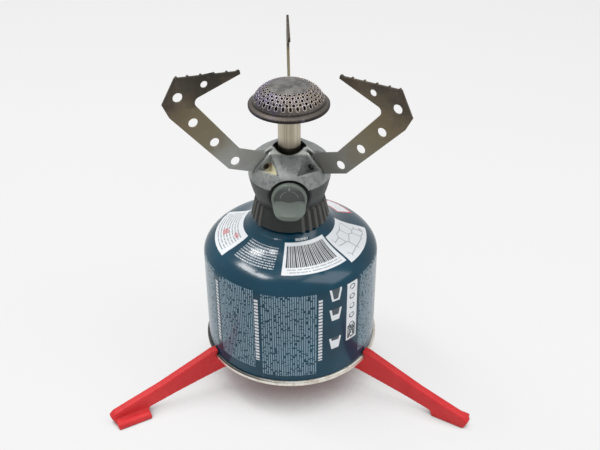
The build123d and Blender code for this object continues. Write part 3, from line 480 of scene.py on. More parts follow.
def die_cast(name="die_cast", wear_and_highlight=False):
    """Grey die-cast metal: grainy skin, a heat stain and rust in one pocket, painted shade in the lower
    band, the air bore, the pocket corners and the pin holes; the edge variant is for its ridges, lighter
    as wear and as a painted highlight.
    """
    f, s = begin(name, "stove")
    cloud = f.noise(6, 5, roughness=0.6)
    grain = f.noise(0.35, 3)
    pits = f.node("ShaderNodeTexVoronoi", inputs={"Vector": f.place, "Scale": 1 / (0.9 * MM)})
    pits = pits.over(0.0, 0.22)
    f.start(cloud.over(0.36, 0.26), (196, 201, 198), s.cast)
    f.layer(grain.over(0.5, 0.25) * 0.3, (188, 192, 188))
    f.layer((1 - pits) * 0.2, (100, 104, 104))
    # painted shade: the hub's lower band is darker, and its grime is heavier there
    band = f.z.under(HUB_LOW + 8.6 * MM, 0.8 * MM)
    f.layer(band * 0.72, (88, 93, 93))
    grime = f.noise(2.6, 4, roughness=0.7).over(0.50, 0.12)
    f.layer(grime * (0.04 + band * 0.34), (60, 66, 70))
    # painted shade, near black, in the air bore
    bore = f.radius().under(9.6 * MM, 1.0 * MM)
    f.layer(bore * 0.92, (26, 25, 22))
    # painted shade in the corners of the pockets beside the arms
    for side, deep in (("left", 0.45), ("right", 0.08), ("rear", 0.3)):
        hinge = ARM_PIVOTS[side]
        ray = Vector((hinge.x, hinge.y, 0)).normalized()
        beside = (f.y * ray.x - f.x * ray.y).abs()
        outward = f.x * ray.x + f.y * ray.y
        corner = beside.within(3.4 * MM, 5.6 * MM, 1.4 * MM) * outward.within(12 * MM, 20 * MM, 2.5 * MM)
        corner = corner * f.z.under(HUB_TOP - 5.5 * MM, 1.0 * MM)
        corner = corner * f.z.over(HUB_LOW + 8.4 * MM, 0.5 * MM)
        f.layer(corner * deep * (0.5 + f.noise(1.3, 3)), (48, 46, 42))
    # heat stain round the left hinge and a ring of rust near its pin; painted shade, near black, inside
    # the pin holes, tinted rust-brown on the left
    pin = ARM_PIVOTS["left"]
    away = f.distance(f.place, (pin.x + 5.4 * MM, pin.y - 6.6 * MM, pin.z - 3.2 * MM))
    away = away + (f.noise(1.6, 4) - 0.5) * 4.0 * MM
    f.layer(away.under(4.2 * MM, 2.2 * MM) * 0.92, (232, 228, 200))
    rust_ring = f.distance(f.place, (pin.x + 3.6 * MM, pin.y - 3.0 * MM, pin.z + 0.2 * MM))
    rust_ring = rust_ring + (f.noise(1.2, 4) - 0.5) * 3.0 * MM
    f.layer(rust_ring.under(1.3 * MM, 1.3 * MM) * 0.6, (150, 112, 70))
    # painted shade inside each pin hole
    for side, pin_hole_shade in (("left", (22, 13, 8)), ("right", (9, 10, 11)), ("rear", (20, 18, 16))):
        hinge = ARM_PIVOTS[side]
        axis = Vector((hinge.y, -hinge.x, 0)).normalized()
        off = f.vectors("CROSS_PRODUCT", f.vectors("SUBTRACT", f.place, hinge), axis)
        off = f.vectors("LENGTH", off, output="Value")
        near = f.distance(f.place, hinge)
        inside = off.under(1.75 * MM, 0.3 * MM) * near.under(6.5 * MM, 0.5 * MM)
        f.layer(inside * 0.97, pin_hole_shade)
    # the edge variant: ridges much lighter, as wear and as a painted highlight
    if wear_and_highlight:
        f.layer(0.75, (230, 233, 227))
    rough = (0.34 if wear_and_highlight else 0.44) + grain * 0.14
    return f.set(metallic=0.35, roughness=rough,
                 normal=f.bump(grain * 0.6 + cloud + pits * 0.4, 0.09, 0.8))


def moulded(name="moulded", wear_and_highlight=False):
    """Dark glass-filled plastic: fine grain, painted highlights and shade on the ribs, painted shade in
    the recess, painted light on the collar's right side; the edge variant is for rubbed edges, lighter
    as wear and as a painted highlight.
    """
    f, s = begin(name, "stove")
    grain = f.noise(0.22, 3)
    cloud = f.noise(9, 3)
    bowl = f.z.over(COLLAR_TOP + 0.2 * MM, 6 * MM)
    f.start(bowl, s.moulded, (62, 65, 64))
    f.layer(cloud.over(0.35, 0.4) * 0.3, (46, 48, 48))
    low = f.z.under(COLLAR_TOP, 2 * MM)
    # painted light: the collar's right side is warmer and lighter
    warm = f.x.over(4 * MM, 18 * MM) * low
    f.layer(warm * 0.25, (70, 62, 54))
    rubbed = f.noise(2.2, 5, roughness=0.7).over(0.56, 0.12)
    f.layer(rubbed * 0.12, (100, 102, 100))
    # grip ribs: painted highlights on the crests and painted shade in the grooves
    turn = f.angle() * DEGREES - RIB_TURN
    ribbed = (turn.abs() - 90).abs().under(57, 1)
    crest = (turn / RIB_PITCH + 0.5).fract().within(0.34, 0.66, 0.16)
    f.layer(ribbed * low * crest * 0.5, (98, 98, 95))
    f.layer(ribbed * low * (1 - crest) * 0.5, (14, 15, 15))
    # painted shade: black inside the recess round the knob and in a ring round its mouth
    across = f.distance(f.vector(f.x, 0.0, f.z), (KNOB_PIVOT.x, 0.0, KNOB_PIVOT.z))
    recess = across.under(12.8 * MM, 0.4 * MM) * f.y.under(-12 * MM, 1 * MM)
    f.layer(recess * 0.85, (18, 22, 22))
    # the edge variant: edges lighter, as wear and as a painted highlight, except in the recess
    if wear_and_highlight:
        f.layer((1 - recess) * 0.34, (108, 108, 104))
    return f.set(roughness=0.46 + grain * 0.16 - rubbed * 0.06, specular_ior_level=0.35,
                 normal=f.bump(grain + rubbed * 0.4, 0.05, 0.7))


def knob_plastic(name="knob_plastic", wear_and_highlight=False):
    """Grey-green moulded plastic, darker in the sunk face as painted shade, with a light dash and an arc
    on it.
    """
    f, s = begin(name, "stove")
    grain = f.noise(0.3, 2)
    cloud = f.noise(5, 3)
    up = f.z - KNOB_PIVOT.z
    side = f.x - KNOB_PIVOT.x
    out = (side * side + up * up).math("SQRT")
    f.start(cloud.over(0.3, 0.4), s.knob, (100, 108, 102))
    # painted shade: the sunk face is darker, less so towards its top
    sunk = f.y.over(KNOB_FACE + 0.9 * MM, 0.3 * MM) * out.under(8.9 * MM, 0.3 * MM)
    sunk = sunk * up.over(-5.2 * MM, 0.3 * MM)
    f.layer(sunk * (0.85 - up.over(4.6 * MM, 3.4 * MM) * 0.55), (54, 58, 57))
    dash = side.abs() * -1 + 0.5 * MM
    dash = dash.over(0.0, 0.1 * MM) * up.within(5.6 * MM, 7.4 * MM, 0.1 * MM)
    curve = out.within(5.0 * MM, 5.4 * MM, 0.1 * MM) * up.under(5.0 * MM, 0.1 * MM)
    curve = curve * up.over(0.5 * MM, 0.2 * MM)
    f.layer((dash + curve * 0.6) * sunk * 0.45, (170, 174, 168))
    # painted shade: the paddle's lower lip is darker
    lip_shade = f.z.under(KNOB_PIVOT.z - 10.6 * MM, 1.2 * MM)
    f.layer(lip_shade * 0.5, (74, 82, 77))
    specks = f.noise(0.9, 3).over(0.64, 0.06)
    f.layer(specks * 0.2, (150, 158, 150))
    # the edge variant: edges lighter, a painted highlight with some wear
    if wear_and_highlight:
        f.layer(0.35, (158, 166, 158))
    return f.set(roughness=0.36 + grain * 0.16, specular_ior_level=0.4, coat_weight=0.1,
                 coat_roughness=0.25, subsurface_weight=0.05,
                 subsurface_radius=(0.6 * MM, 0.7 * MM, 0.6 * MM),
                 normal=f.bump(grain + cloud, 0.04, 0.5))


def scorched_steel(name="scorched_steel", rim=False):
    """Burner steel darkened by flame, with violet and blue tints, painted highlights on the rings round
    its holes, painted shade inside them and pale specks; rim is for the pressed rims, painted lighter as
    a highlight."""
    f, s = begin(name, "burner")
    cloud = f.noise(5, 5, roughness=0.65)
    mottle = f.noise(1.6, 4, roughness=0.7)
    specks = f.noise(0.5, 2).over(0.68, 0.04)
    height = (f.z - DOME_LOW) / (DOME_TOP - DOME_LOW)
    bend_r, bend_z, bend = dome_arc()
    out = f.radius() - bend_r
    rise = f.z - bend_z
    depth = bend - (out * out + rise * rise).math("SQRT")
    side = height.within(0.26, 0.78, 0.04)
    f.start(mottle.over(0.40, 0.22), s.steel, (92, 88, 85))
    # burnished metal between the holes, pinker to the right and bluer to the left
    warm = f.mix(f.x.over(-8 * MM, 14 * MM), (62, 58, 60), (92, 84, 78))
    f.layer(side * (0.35 + cloud.over(0.35, 0.25) * 0.5), warm)
    crown = height.over(0.80, 0.06)
    f.layer(crown * 0.85, f.mix(cloud.over(0.42, 0.16), (114, 113, 110), (80, 78, 76)))
    # painted shade in the groove at the dome's foot, over the dark scorched lip
    foot = height.under(0.19, 0.05)
    f.layer(foot * 0.9, (20, 15, 12))
    # painted highlight along the lip's outer edge
    streak = f.radius().within(DOME_R - 2.0 * MM, DOME_R - 0.8 * MM, 0.5 * MM) * (0.5 + mottle)
    f.layer(streak * foot * 0.32, (122, 112, 103))
    violet = f.noise(7, 2, distortion=0.6)
    left = (f.x + 10 * MM).under(-6 * MM, 12 * MM)
    f.layer(violet.over(0.46, 0.14) * left * 0.32, (80, 72, 120))
    f.layer(violet.over(0.60, 0.1) * (1 - left) * 0.3, (112, 100, 116))
    f.layer(specks * 0.35, (196, 188, 178))
    # a painted highlight on the pressed ring round each hole, and painted shade inside each hole
    azimuth = f.y.math("ARCTAN2", f.x) * (s.port_count / (2 * pi))
    slope = out.math("ARCTAN2", rise) * bend
    rings, port_shade = 0, 0
    for row, (inward, port) in enumerate(PORT_ROWS):
        here = row_tilt(inward, bend_r, bend) * bend
        beside = (azimuth - 0.275 - 0.5 * (row % 2)).fract() - 0.5
        beside = beside * f.radius() * (2 * pi / s.port_count)
        below = slope - here
        if row == LAST_ROW:
            below = (below.abs() - SLOT_STRETCH).math("MAXIMUM", 0)
        away = (beside * beside + below * below).math("SQRT")
        rings = away.within((port + 0.16) * MM, (port + 0.42) * MM, 0.08 * MM) + rings
        port_shade = away.under((port + 0.12) * MM, 0.06 * MM) + port_shade
    ring_tone = f.mix(f.x.over(-10 * MM, 14 * MM), (168, 162, 182), (196, 184, 168))
    f.layer(rings.clip() * (0.45 + mottle * 0.7).clip() * side, ring_tone)
    # painted shade: black inside the dome and in its holes
    inside = depth.over(0.05 * MM, 0.08 * MM) * (1 - crown) * f.z.over(DOME_LOW + 0.3 * MM, 0.3 * MM)
    f.layer((inside + port_shade * side).clip() * 0.95, (16, 14, 14))
    # the rim variant: much lighter, a painted highlight on the rims
    if rim:
        f.layer(0.8, f.mix(violet.over(0.45, 0.2), (198, 188, 176), (176, 170, 196)))
    rough = (0.32 if rim else 0.42) + mottle * 0.2
    return f.set(metallic=0.6, roughness=rough,
                 normal=f.bump(mottle + specks * 0.3, 0.05, 0.7))


def tube_steel():
    """Drawn tube: upright brushing, straw tint, a darker front stripe as painted reflection, darker
    towards the bottom, and painted shade where it enters the hub.
    """
    f, s = begin("tube_steel", "burner")
    angle = f.angle()
    streak = f.noise_at(angle * 7, f.z * 5, 2.0, detail=4, roughness=0.7)
    fine = f.noise_at(angle * 40, f.z * 18, 5.0, detail=2)
    f.start(streak.over(0.40, 0.2), (172, 161, 138), s.tube)
    # painted reflection: a darker stripe down the front, the sides left lighter
    middle = (angle + 0.05).abs().under(0.28, 0.3)
    f.layer(middle * 0.45, (132, 122, 102))
    f.layer(fine.over(0.5, 0.25) * 0.3, (228, 220, 202))
    # darker towards the bottom
    low = f.z.under(HUB_TOP - 1.0 * MM, 8 * MM)
    f.layer(low * 0.62, (92, 86, 72))
    # painted shade: a near-black band where the tube enters the hub
    f.layer(f.z.under(HUB_TOP - 0.7 * MM, 1.1 * MM) * 0.9, (20, 18, 16))
    drops = f.noise(1.1, 3).over(0.66, 0.06)
    f.layer(drops * 0.35, (110, 98, 74))
    return f.set(metallic=0.45, roughness=0.30 + fine * 0.18,
                 normal=f.bump(streak * 0.6 + fine * 0.5, 0.05, 0.5))


def arm_plate(side, edge=False):
    """Stamped plate: grey at the hub, straw in the middle, dark brown on the finger; edge is for its
    brighter cut edges."""
    f, s = begin(f"arm_plate_{side}" + ("_edge" if edge else ""), "arms")
    blotch = f.noise(9, 4, roughness=0.55)
    pivot = ARM_PIVOTS[side]
    low = f.z.under(pivot.z + 44 * MM, 1 * MM)
    run = f.radius() - hypot(pivot.x, pivot.y)
    # path along the plate: out and up to the knee, then in along the finger
    heat = (run * 0.45 + (f.z - pivot.z) * 0.62) / (54 * MM) + (blotch - 0.5) * 0.22
    heat = heat + (1 - low) * (0.16 - run / (60 * MM) * 0.16)
    # painted shade: the right arm's greys near the hub are darker
    greys = ((106, 107, 103), (120, 121, 115)) if side == "right" else (s.plate, (148, 150, 147))
    f.base = f.ramp(heat * 0.8, (0.05, greys[0]), (0.21, greys[1]), (0.38, (118, 113, 97)),
                    (0.52, (113, 105, 84)), (0.62, (110, 99, 78)), (0.72, (100, 90, 72)),
                    (0.84, (72, 65, 56)), (0.97, s.scorch))
    tip = (1 - low) * f.radius().under((50 if side == "left" else 36) * MM, 14 * MM)
    f.layer(tip * 0.85, s.scorch)
    tint = f.noise(14, 2, distortion=0.4)
    f.layer(tint.over(0.52, 0.1) * 0.16, (112, 96, 82))
    grain = f.noise(0.3, 3)
    rub = f.noise(2.0, 4, roughness=0.7).over(0.58, 0.12)
    f.layer(rub * 0.12, (156, 150, 138))
    hair = f.noise_at(f.x * 900, f.y * 900, f.z * 90, detail=2, roughness=0.6).over(0.60, 0.08)
    f.layer(hair * 0.03, (170, 165, 152))
    if edge:
        f.layer(heat.under(0.72, 0.1) * 0.5 + 0.08, (206, 196, 168))
    return f.set(metallic=0.25, roughness=0.48 + grain * 0.14, specular_ior_level=0.25,
                 normal=f.bump(grain * 0.7 + blotch, 0.03, 0.5))


def red_plastic():
    """Satin red moulding: fine grain, faint flow marks, paler rubbed patches."""
    f, s = begin("red_plastic", "stabiliser")
    grain = f.noise(0.25, 3)
    flow = f.noise(22, 3, distortion=0.5)
    f.start(flow.over(0.3, 0.45), s.plastic, (206, 50, 52))
    rub = f.noise(3.0, 5, roughness=0.7).over(0.60, 0.12)
    f.layer(rub * 0.18, (222, 104, 104))
    dirt = f.z.under(0.5 * MM, 4 * MM) * f.noise(3, 4).over(0.4, 0.2)
    f.layer(dirt * 0.3, (130, 34, 34))
    return f.set(roughness=0.44 + grain * 0.14 + rub * 0.08, specular_ior_level=0.3,
                 normal=f.bump(grain + flow * 0.8 + rub * 0.3, 0.06, 0.6))


def machined_brass():
    """Turned brass with fine tool lines and brown tarnish."""
    f = Finish("machined_brass")
    lines = f.noise(0.18, 1, at=f.stretched(0.1, 0.1, 1))
    tarnish = f.noise(3, 4, roughness=0.65)
    f.start(tarnish.over(0.42, 0.3), (206, 170, 98), (142, 104, 58))
    f.layer(lines.over(0.5, 0.3) * 0.3, (232, 204, 140))
    return f.set(metallic=1.0, roughness=0.24 + tarnish * 0.2,
                 normal=f.bump(lines, 0.03, 0.6))


def plain_steel(name="plain_steel", hole_shaded=False):
    """Plated steel of screws, rivet and spring, with small stains; on the hinge pins, painted shade
    darkens all but the right one, as the shade inside their holes.
    """
    f = Finish(name)
    cloud = f.noise(1.8, 4, roughness=0.7)
    grain = f.noise(0.16, 2)
    f.start(cloud.over(0.42, 0.25), (176, 174, 168), (108, 102, 94))
    f.layer(grain.over(0.55, 0.2) * 0.3, (214, 212, 206))
    # painted shade: all pins but the right one darkened, as the shade inside their holes
    if hole_shaded:
        f.layer(f.x.under(2 * MM, 2 * MM) * 0.85 + 0.05, (30, 24, 18))
    return f.set(metallic=0.95, roughness=0.28 + cloud * 0.22,
                 normal=f.bump(grain + cloud, 0.03, 0.6))


def black_rubber():
    """Matt rubber with a bloom of dust."""
    f = Finish("black_rubber")
    bloom = f.noise(1.5, 4)
    f.start(bloom.over(0.4, 0.3), (30, 30, 30), (52, 51, 50))
    return f.set(roughness=0.72 + bloom * 0.15, normal=f.bump(bloom, 0.04, 0.6))


def natural_plastic():
    """Uncoloured valve plastic, slightly yellowed."""
    f = Finish("natural_plastic")
    cloud = f.noise(3, 3)
    f.start(cloud.over(0.35, 0.35), (226, 224, 214), (204, 198, 180))
    return f.set(roughness=0.42 + cloud * 0.12, normal=f.bump(cloud, 0.03, 0.5))


# ------------------------------------------------------------------ meshes

@contextmanager
def opened(mesh):
    """The mesh as a bmesh, written back at the end."""
    form = bmesh.new()
    form.from_mesh(mesh)
    yield form
    form.to_mesh(mesh)
    form.free()


def new_object(name, data, *finishes):
    made = bpy.data.objects.new(name, data)
    for material in finishes:
        data.materials.append(material)
    bpy.context.scene.collection.objects.link(made)
    return made


def modify(made, kind, **settings):
    modifier = made.modifiers.new(kind.lower(), kind)
    for key, value in settings.items():
        setattr(modifier, key, value)
    return modifier


def evaluated_mesh(made):
    """The object's mesh with its modifiers applied."""
    depsgraph = bpy.context.evaluated_depsgraph_get()
    depsgraph.update()
    return bpy.data.meshes.new_from_object(made.evaluated_get(depsgraph))


def bake_modifiers(made):
    mesh = evaluated_mesh(made)
    made.modifiers.clear()
    made.data = mesh
    mesh.name = made.name
    return made


def seat(made, body, slot, *nodes):
    """Puts a finished piece on its body and hides the nodes that it stands for; its slot is not used."""
    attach(made, body)
    if nodes:
        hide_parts(*nodes)
    return made


def dress_nodes(material, *nodes):
    """Gives CAD nodes, which keep their shape, their finish."""
    for node in nodes:
        slots = frame["nodes"][node].data.materials
        slots.clear()
        slots.append(material)


def merged_copy(node):
    """A CAD node's solid as a clean mesh: doubles merged, flat faces joined."""
    source = frame["nodes"][node].data
    mesh = bpy.data.meshes.new(node + "_form")
    mesh.from_pydata([v.co[:] for v in source.vertices], [], [p.vertices[:] for p in source.polygons])
    with opened(mesh) as form:
        bmesh.ops.remove_doubles(form, verts=form.verts, dist=1e-6)
        bmesh.ops.dissolve_limit(form, angle_limit=radians(0.5), verts=form.verts, edges=form.edges)
        for face in form.faces:
            face.smooth = True
    return mesh


def rounded(node, name, edge, finishes, body, slot, segments=2):
    """A node's solid with rounded edges, whose rounding has the last finish, in the node's place."""
    made = new_object(name, merged_copy(node), *finishes)
    modify(made, "BEVEL", width=edge, segments=segments, limit_method="ANGLE", angle_limit=radians(32),
           use_clamp_overlap=True, miter_outer="MITER_ARC", material=len(finishes) - 1)
    modify(made, "WEIGHTED_NORMAL", keep_sharp=True, weight=60)
    return seat(bake_modifiers(made), body, slot, node)


def softened(node, name, grain, rounds, finish, body, slot):
    """A moulded piece: a node's solid laid out again in even faces of size grain, its edges smoothed."""
    made = new_object(name, merged_copy(node))
    modify(made, "REMESH", mode="VOXEL", voxel_size=grain)
    modify(made, "SMOOTH", factor=0.5, iterations=rounds)
    mesh = bake_modifiers(made).data
    mesh.materials.clear()
    mesh.materials.append(finish)
    for face in mesh.polygons:
        face.use_smooth = True
    return seat(made, body, slot, node)


def flat_side(node):
    """The outline and the holes of a node's widest flat side, as loops of points in that plane, with
    the plane's axes, its distance from the origin and the depth of the plate behind it."""
    form = bmesh.new()
    form.from_mesh(frame["nodes"][node].data)
    bmesh.ops.remove_doubles(form, verts=form.verts, dist=1e-6)
    across = max(form.faces, key=lambda face: face.calc_area()).normal.copy()
    flat = [face for face in form.faces if face.normal.dot(across) > 0.9995]
    heights = [v.co.dot(across) for v in form.verts]
    along = across.cross(Vector((0, 0, 1))).normalized()
    up = across.cross(along)
    rim = {}
    for face in flat:
        for loop in face.loops:
            if not any(other in flat for other in loop.edge.link_faces if other is not face):
                rim[loop.vert.index] = loop.link_loop_next.vert.index
    places = {v.index: (v.co.dot(along), v.co.dot(up)) for v in form.verts}
    form.free()
    loops = []
    while rim:
        start, following = rim.popitem()
        chain = [start]
        while following != start:
            chain.append(following)
            following = rim.pop(following)
        loops.append([places[key] for key in chain])
    return loops, (along, up, across), max(heights), max(heights) - min(heights)


def stamped(node, name, edge, finishes, body, slot):
    """A stamped plate: a node's flat side given its depth again, with rounded edges."""
    loops, axes, height, depth = flat_side(node)
    curve = bpy.data.curves.new(name, "CURVE")
    curve.dimensions = "2D"
    curve.fill_mode = "BOTH"
    for points in loops:
        spline = curve.splines.new("POLY")
        spline.points.add(len(points) - 1)
        for point, place in zip(spline.points, points):
            point.co = (*place, 0, 1)
        spline.use_cyclic_u = True
    curve.extrude = depth / 2 - edge
    curve.bevel_depth = edge
    curve.bevel_resolution = 1
    curve.offset = -edge
    host = new_object(name + "_outline", curve)
    mesh = evaluated_mesh(host)
    bpy.data.objects.remove(host)
    across = axes[2]
    turn = Matrix(axes).transposed().to_4x4()
    mesh.transform(Matrix.Translation(across * (height - depth / 2)) @ turn)
    with opened(mesh) as form:
        bmesh.ops.remove_doubles(form, verts=form.verts, dist=2e-6)
        bmesh.ops.recalc_face_normals(form, faces=form.faces)
        for face in form.faces:
            face.smooth = True
            face.material_index = 0 if abs(face.normal.dot(across)) > 0.98 else len(finishes) - 1
    mesh.name = name
    mesh.materials.clear()
    made = new_object(name, mesh, *finishes)
    modify(made, "WEIGHTED_NORMAL", weight=60)
    return seat(bake_modifiers(made), body, slot, node)


class Growth(Graph):
    """A Geometry Nodes tree while it is being made. Its inputs are a geometry and those in kinds."""

    def __init__(self, name, **kinds):
        super().__init__(bpy.data.node_groups.new(name, "GeometryNodeTree"))
        face = self.tree.interface
        for key, kind in {"Geometry": "Geometry", **kinds}.items():
            face.new_socket(key.replace("_", " "), in_out="INPUT", socket_type="NodeSocket" + kind)
        face.new_socket("Geometry", in_out="OUTPUT", socket_type="NodeSocketGeometry")
        self.group = self.node("NodeGroupInput")

    def given(self, name):
        return self.sibling(self.group, name)

    def end(self, geometry):
        """Gives the geometry its finish and hands it out."""
        done = self.node("GeometryNodeSetMaterial",
                         inputs={"Geometry": geometry, "Material": self.given("Finish")})
        self.node("NodeGroupOutput", inputs={"Geometry": done})
        return self.tree


def turned_tree():
    """Node tree: the host's points, read as (radius, height), turned round the vertical axis."""
    g = Growth("turned_profile", Profile_points="Int", Steps="Int", Finish="Material")
    steps = g.given("Steps")
    columns = steps + 1.0
    grid = g.node("GeometryNodeMeshGrid", inputs={
        "Size X": 1.0, "Size Y": 1.0, "Vertices X": g.given("Profile points"), "Vertices Y": columns},
        output="Mesh")
    index = g.node("GeometryNodeInputIndex")
    along = ((index + 0.5) / columns).floor()
    angle = (index - along * columns) * (2 * pi / steps)
    place = g.node("GeometryNodeInputPosition")
    point = g.node("GeometryNodeSampleIndex", {"data_type": "FLOAT_VECTOR", "domain": "POINT"},
                   {"Geometry": g.given("Geometry"), "Value": place, "Index": along})
    r, _, z = g.parts(point)
    new = g.vector(r * angle.math("COSINE"), r * angle.math("SINE"), z)
    moved = g.node("GeometryNodeSetPosition", inputs={"Geometry": grid, "Position": new})
    merged = g.node("GeometryNodeMergeByDistance", inputs={"Geometry": moved, "Distance": 1e-6})
    return g.end(g.node("GeometryNodeRealizeInstances", inputs={"Geometry": merged}))


def port_rim_tree():
    """Node tree: a row of pressed rims on a dome, from named sizes."""
    g = Growth("port_rims", Count="Int", Turn="Float", Row_radius="Float", Row_height="Float",
               Tilt="Float", Port_radius="Float", Stretch="Float", Rim_width="Float",
               Finish="Material")
    port = g.given("Port radius")
    ring = g.node("GeometryNodeMeshCircle",
                  inputs={"Vertices": g.given("Count"), "Radius": g.given("Row radius")}, output="Mesh")
    row = g.node("GeometryNodeTransform", inputs={
        "Geometry": ring, "Translation": g.vector(None, None, g.given("Row height")),
        "Rotation": g.vector(None, None, g.given("Turn"))})
    x, y, _ = g.parts(g.node("GeometryNodeInputPosition"))
    lean = g.vector(None, g.given("Tilt"), y.math("ARCTAN2", x))
    path = g.node("GeometryNodeCurvePrimitiveCircle", inputs={"Resolution": 16, "Radius": port})
    oval = g.vector((port + g.given("Stretch")) / port, 1.0, 1.0)
    loop = g.node("GeometryNodeTransform", inputs={"Geometry": path, "Scale": oval})
    section = g.node("GeometryNodeCurvePrimitiveCircle",
                     inputs={"Resolution": 6, "Radius": g.given("Rim width")})
    rim = g.node("GeometryNodeCurveToMesh", inputs={"Curve": loop, "Profile Curve": section})
    copies = g.node("GeometryNodeInstanceOnPoints",
                    inputs={"Points": row, "Instance": rim, "Rotation": lean})
    real = g.node("GeometryNodeRealizeInstances", inputs={"Geometry": copies})
    return g.end(g.node("GeometryNodeSetShadeSmooth", inputs={"Geometry": real}))


def grown(tree, name, values, points=()):
    """A mesh made by a node tree whose named inputs are given, from the points of its host."""
    host = new_object(name, bpy.data.meshes.new(name))
    host.data.from_pydata(points, [], [])
    modifier = modify(host, "NODES", node_group=tree)
    keys = {item.name: item.identifier for item in tree.interface.items_tree if item.in_out == "INPUT"}
    for key, value in values.items():
        modifier[keys[key]] = value
    return bake_modifiers(host)


def turned(name, profile, finish, steps=192, facet=50):
    """A closed profile of (radius, height) points turned round the vertical axis in steps; edges
    sharper than facet degrees stay sharp."""
    tree = bpy.data.node_groups.get("turned_profile") or turned_tree()
    points = [*profile, profile[0]]
    made = grown(tree, name, {"Profile points": len(points), "Steps": steps, "Finish": finish},
                 [(r, 0, z) for r, z in points])
    with opened(made.data) as form:
        bmesh.ops.delete(form, geom=[e for e in form.edges if not e.link_faces], context="EDGES")
        bmesh.ops.recalc_face_normals(form, faces=form.faces)
        for face in form.faces:
            face.smooth = True
        for e in form.edges:
            if len(e.link_faces) == 2 and e.calc_face_angle() > radians(facet):
                e.smooth = False
    return made


def join(name, pieces):
    """One mesh of several objects that share a body."""
    mesh = bpy.data.meshes.new(name)
    materials = list(pieces[0].data.materials)
    with opened(mesh) as form:
        for piece in pieces:
            form.from_mesh(piece.data)
    for piece in pieces:
        bpy.data.objects.remove(piece)
    return new_object(name, mesh, *materials)


def arc(centre, r, start, end, count):
    """Points of an arc in the (radius, height) plane, angles in degrees."""
    angles = [radians(start + (end - start) * k / count) for k in range(count + 1)]
    return [(centre[0] + r * cos(a), centre[1] + r * sin(a)) for a in angles]


def shoulder_profile():
    """The can's outline from the wall to the collar, fitted smoothly to the frame's shell."""
    source = frame["nodes"]["cartridge_shell"].data
    tree = BVHTree.FromPolygons([v.co for v in source.vertices],
                                [p.vertices[:] for p in source.polygons])
    # rays come in towards a point inside the can, in one upright plane, from 12 to 100 degrees
    middle_r, middle_z = CAN_R * 0.45, CAN_TOP - 46 * MM
    plane = radians(7.5)
    rays, outside, cup_r, degree = 60, 0.2, 23.4 * MM, 9
    hits = []
    for k in range(rays):
        a = radians(12 + k * 88 / (rays - 1))
        middle = Vector((middle_r * cos(plane), middle_r * sin(plane), middle_z))
        way = Vector((cos(a) * cos(plane), cos(a) * sin(plane), sin(a)))
        place = tree.ray_cast(middle + way * outside, -way)[0]
        if place:
            hits.append((hypot(place.x, place.y), place.z))
    curve = [h for h in hits if h[1] > WALL_TOP - 0.4 * MM and h[0] > cup_r]
    r, z = (np.array([h[k] for h in curve]) for k in (0, 1))
    along = np.concatenate([[0], np.cumsum(np.hypot(np.diff(r), np.diff(z)))])
    along = along / along[-1]
    fit_r = np.polynomial.Polynomial.fit(along, r, degree)
    fit_z = np.polynomial.Polynomial.fit(along, z, degree)
    return [(min(float(fit_r(t)), CAN_R), float(fit_z(t))) for t in np.linspace(0, 1, 56)]


def dome_arc():
    """Centre (radius, height) and radius of the arc in which the cap's perforated side is bent."""
    foot = (DOME_R - DOME_LIP * MM, DOME_LOW + 2.87 * MM)
    edge = (foot[0] - 8.6 * MM, foot[1] + 8.24 * MM)
    bend = 13.8 * MM
    chord = hypot(foot[0] - edge[0], foot[1] - edge[1])
    back = sqrt(bend ** 2 - chord ** 2 / 4) / chord
    middle = ((foot[0] + edge[0]) / 2, (foot[1] + edge[1]) / 2)
    return middle[0] - back * (edge[1] - foot[1]), middle[1] - back * (foot[0] - edge[0]), bend


def row_tilt(inward, bend_r, bend):
    """Angle from the upright at which a row of holes stands on the cap's arc."""
    return asin((DOME_R - (DOME_LIP + inward) * MM - bend_r) / bend)


# ------------------------------------------------------------------ operators

class Build:
    """What the operators share: each one makes or dresses a group of pieces."""

    def execute(self, context):
        self.build(context.scene.stove_build)
        return {"FINISHED"}


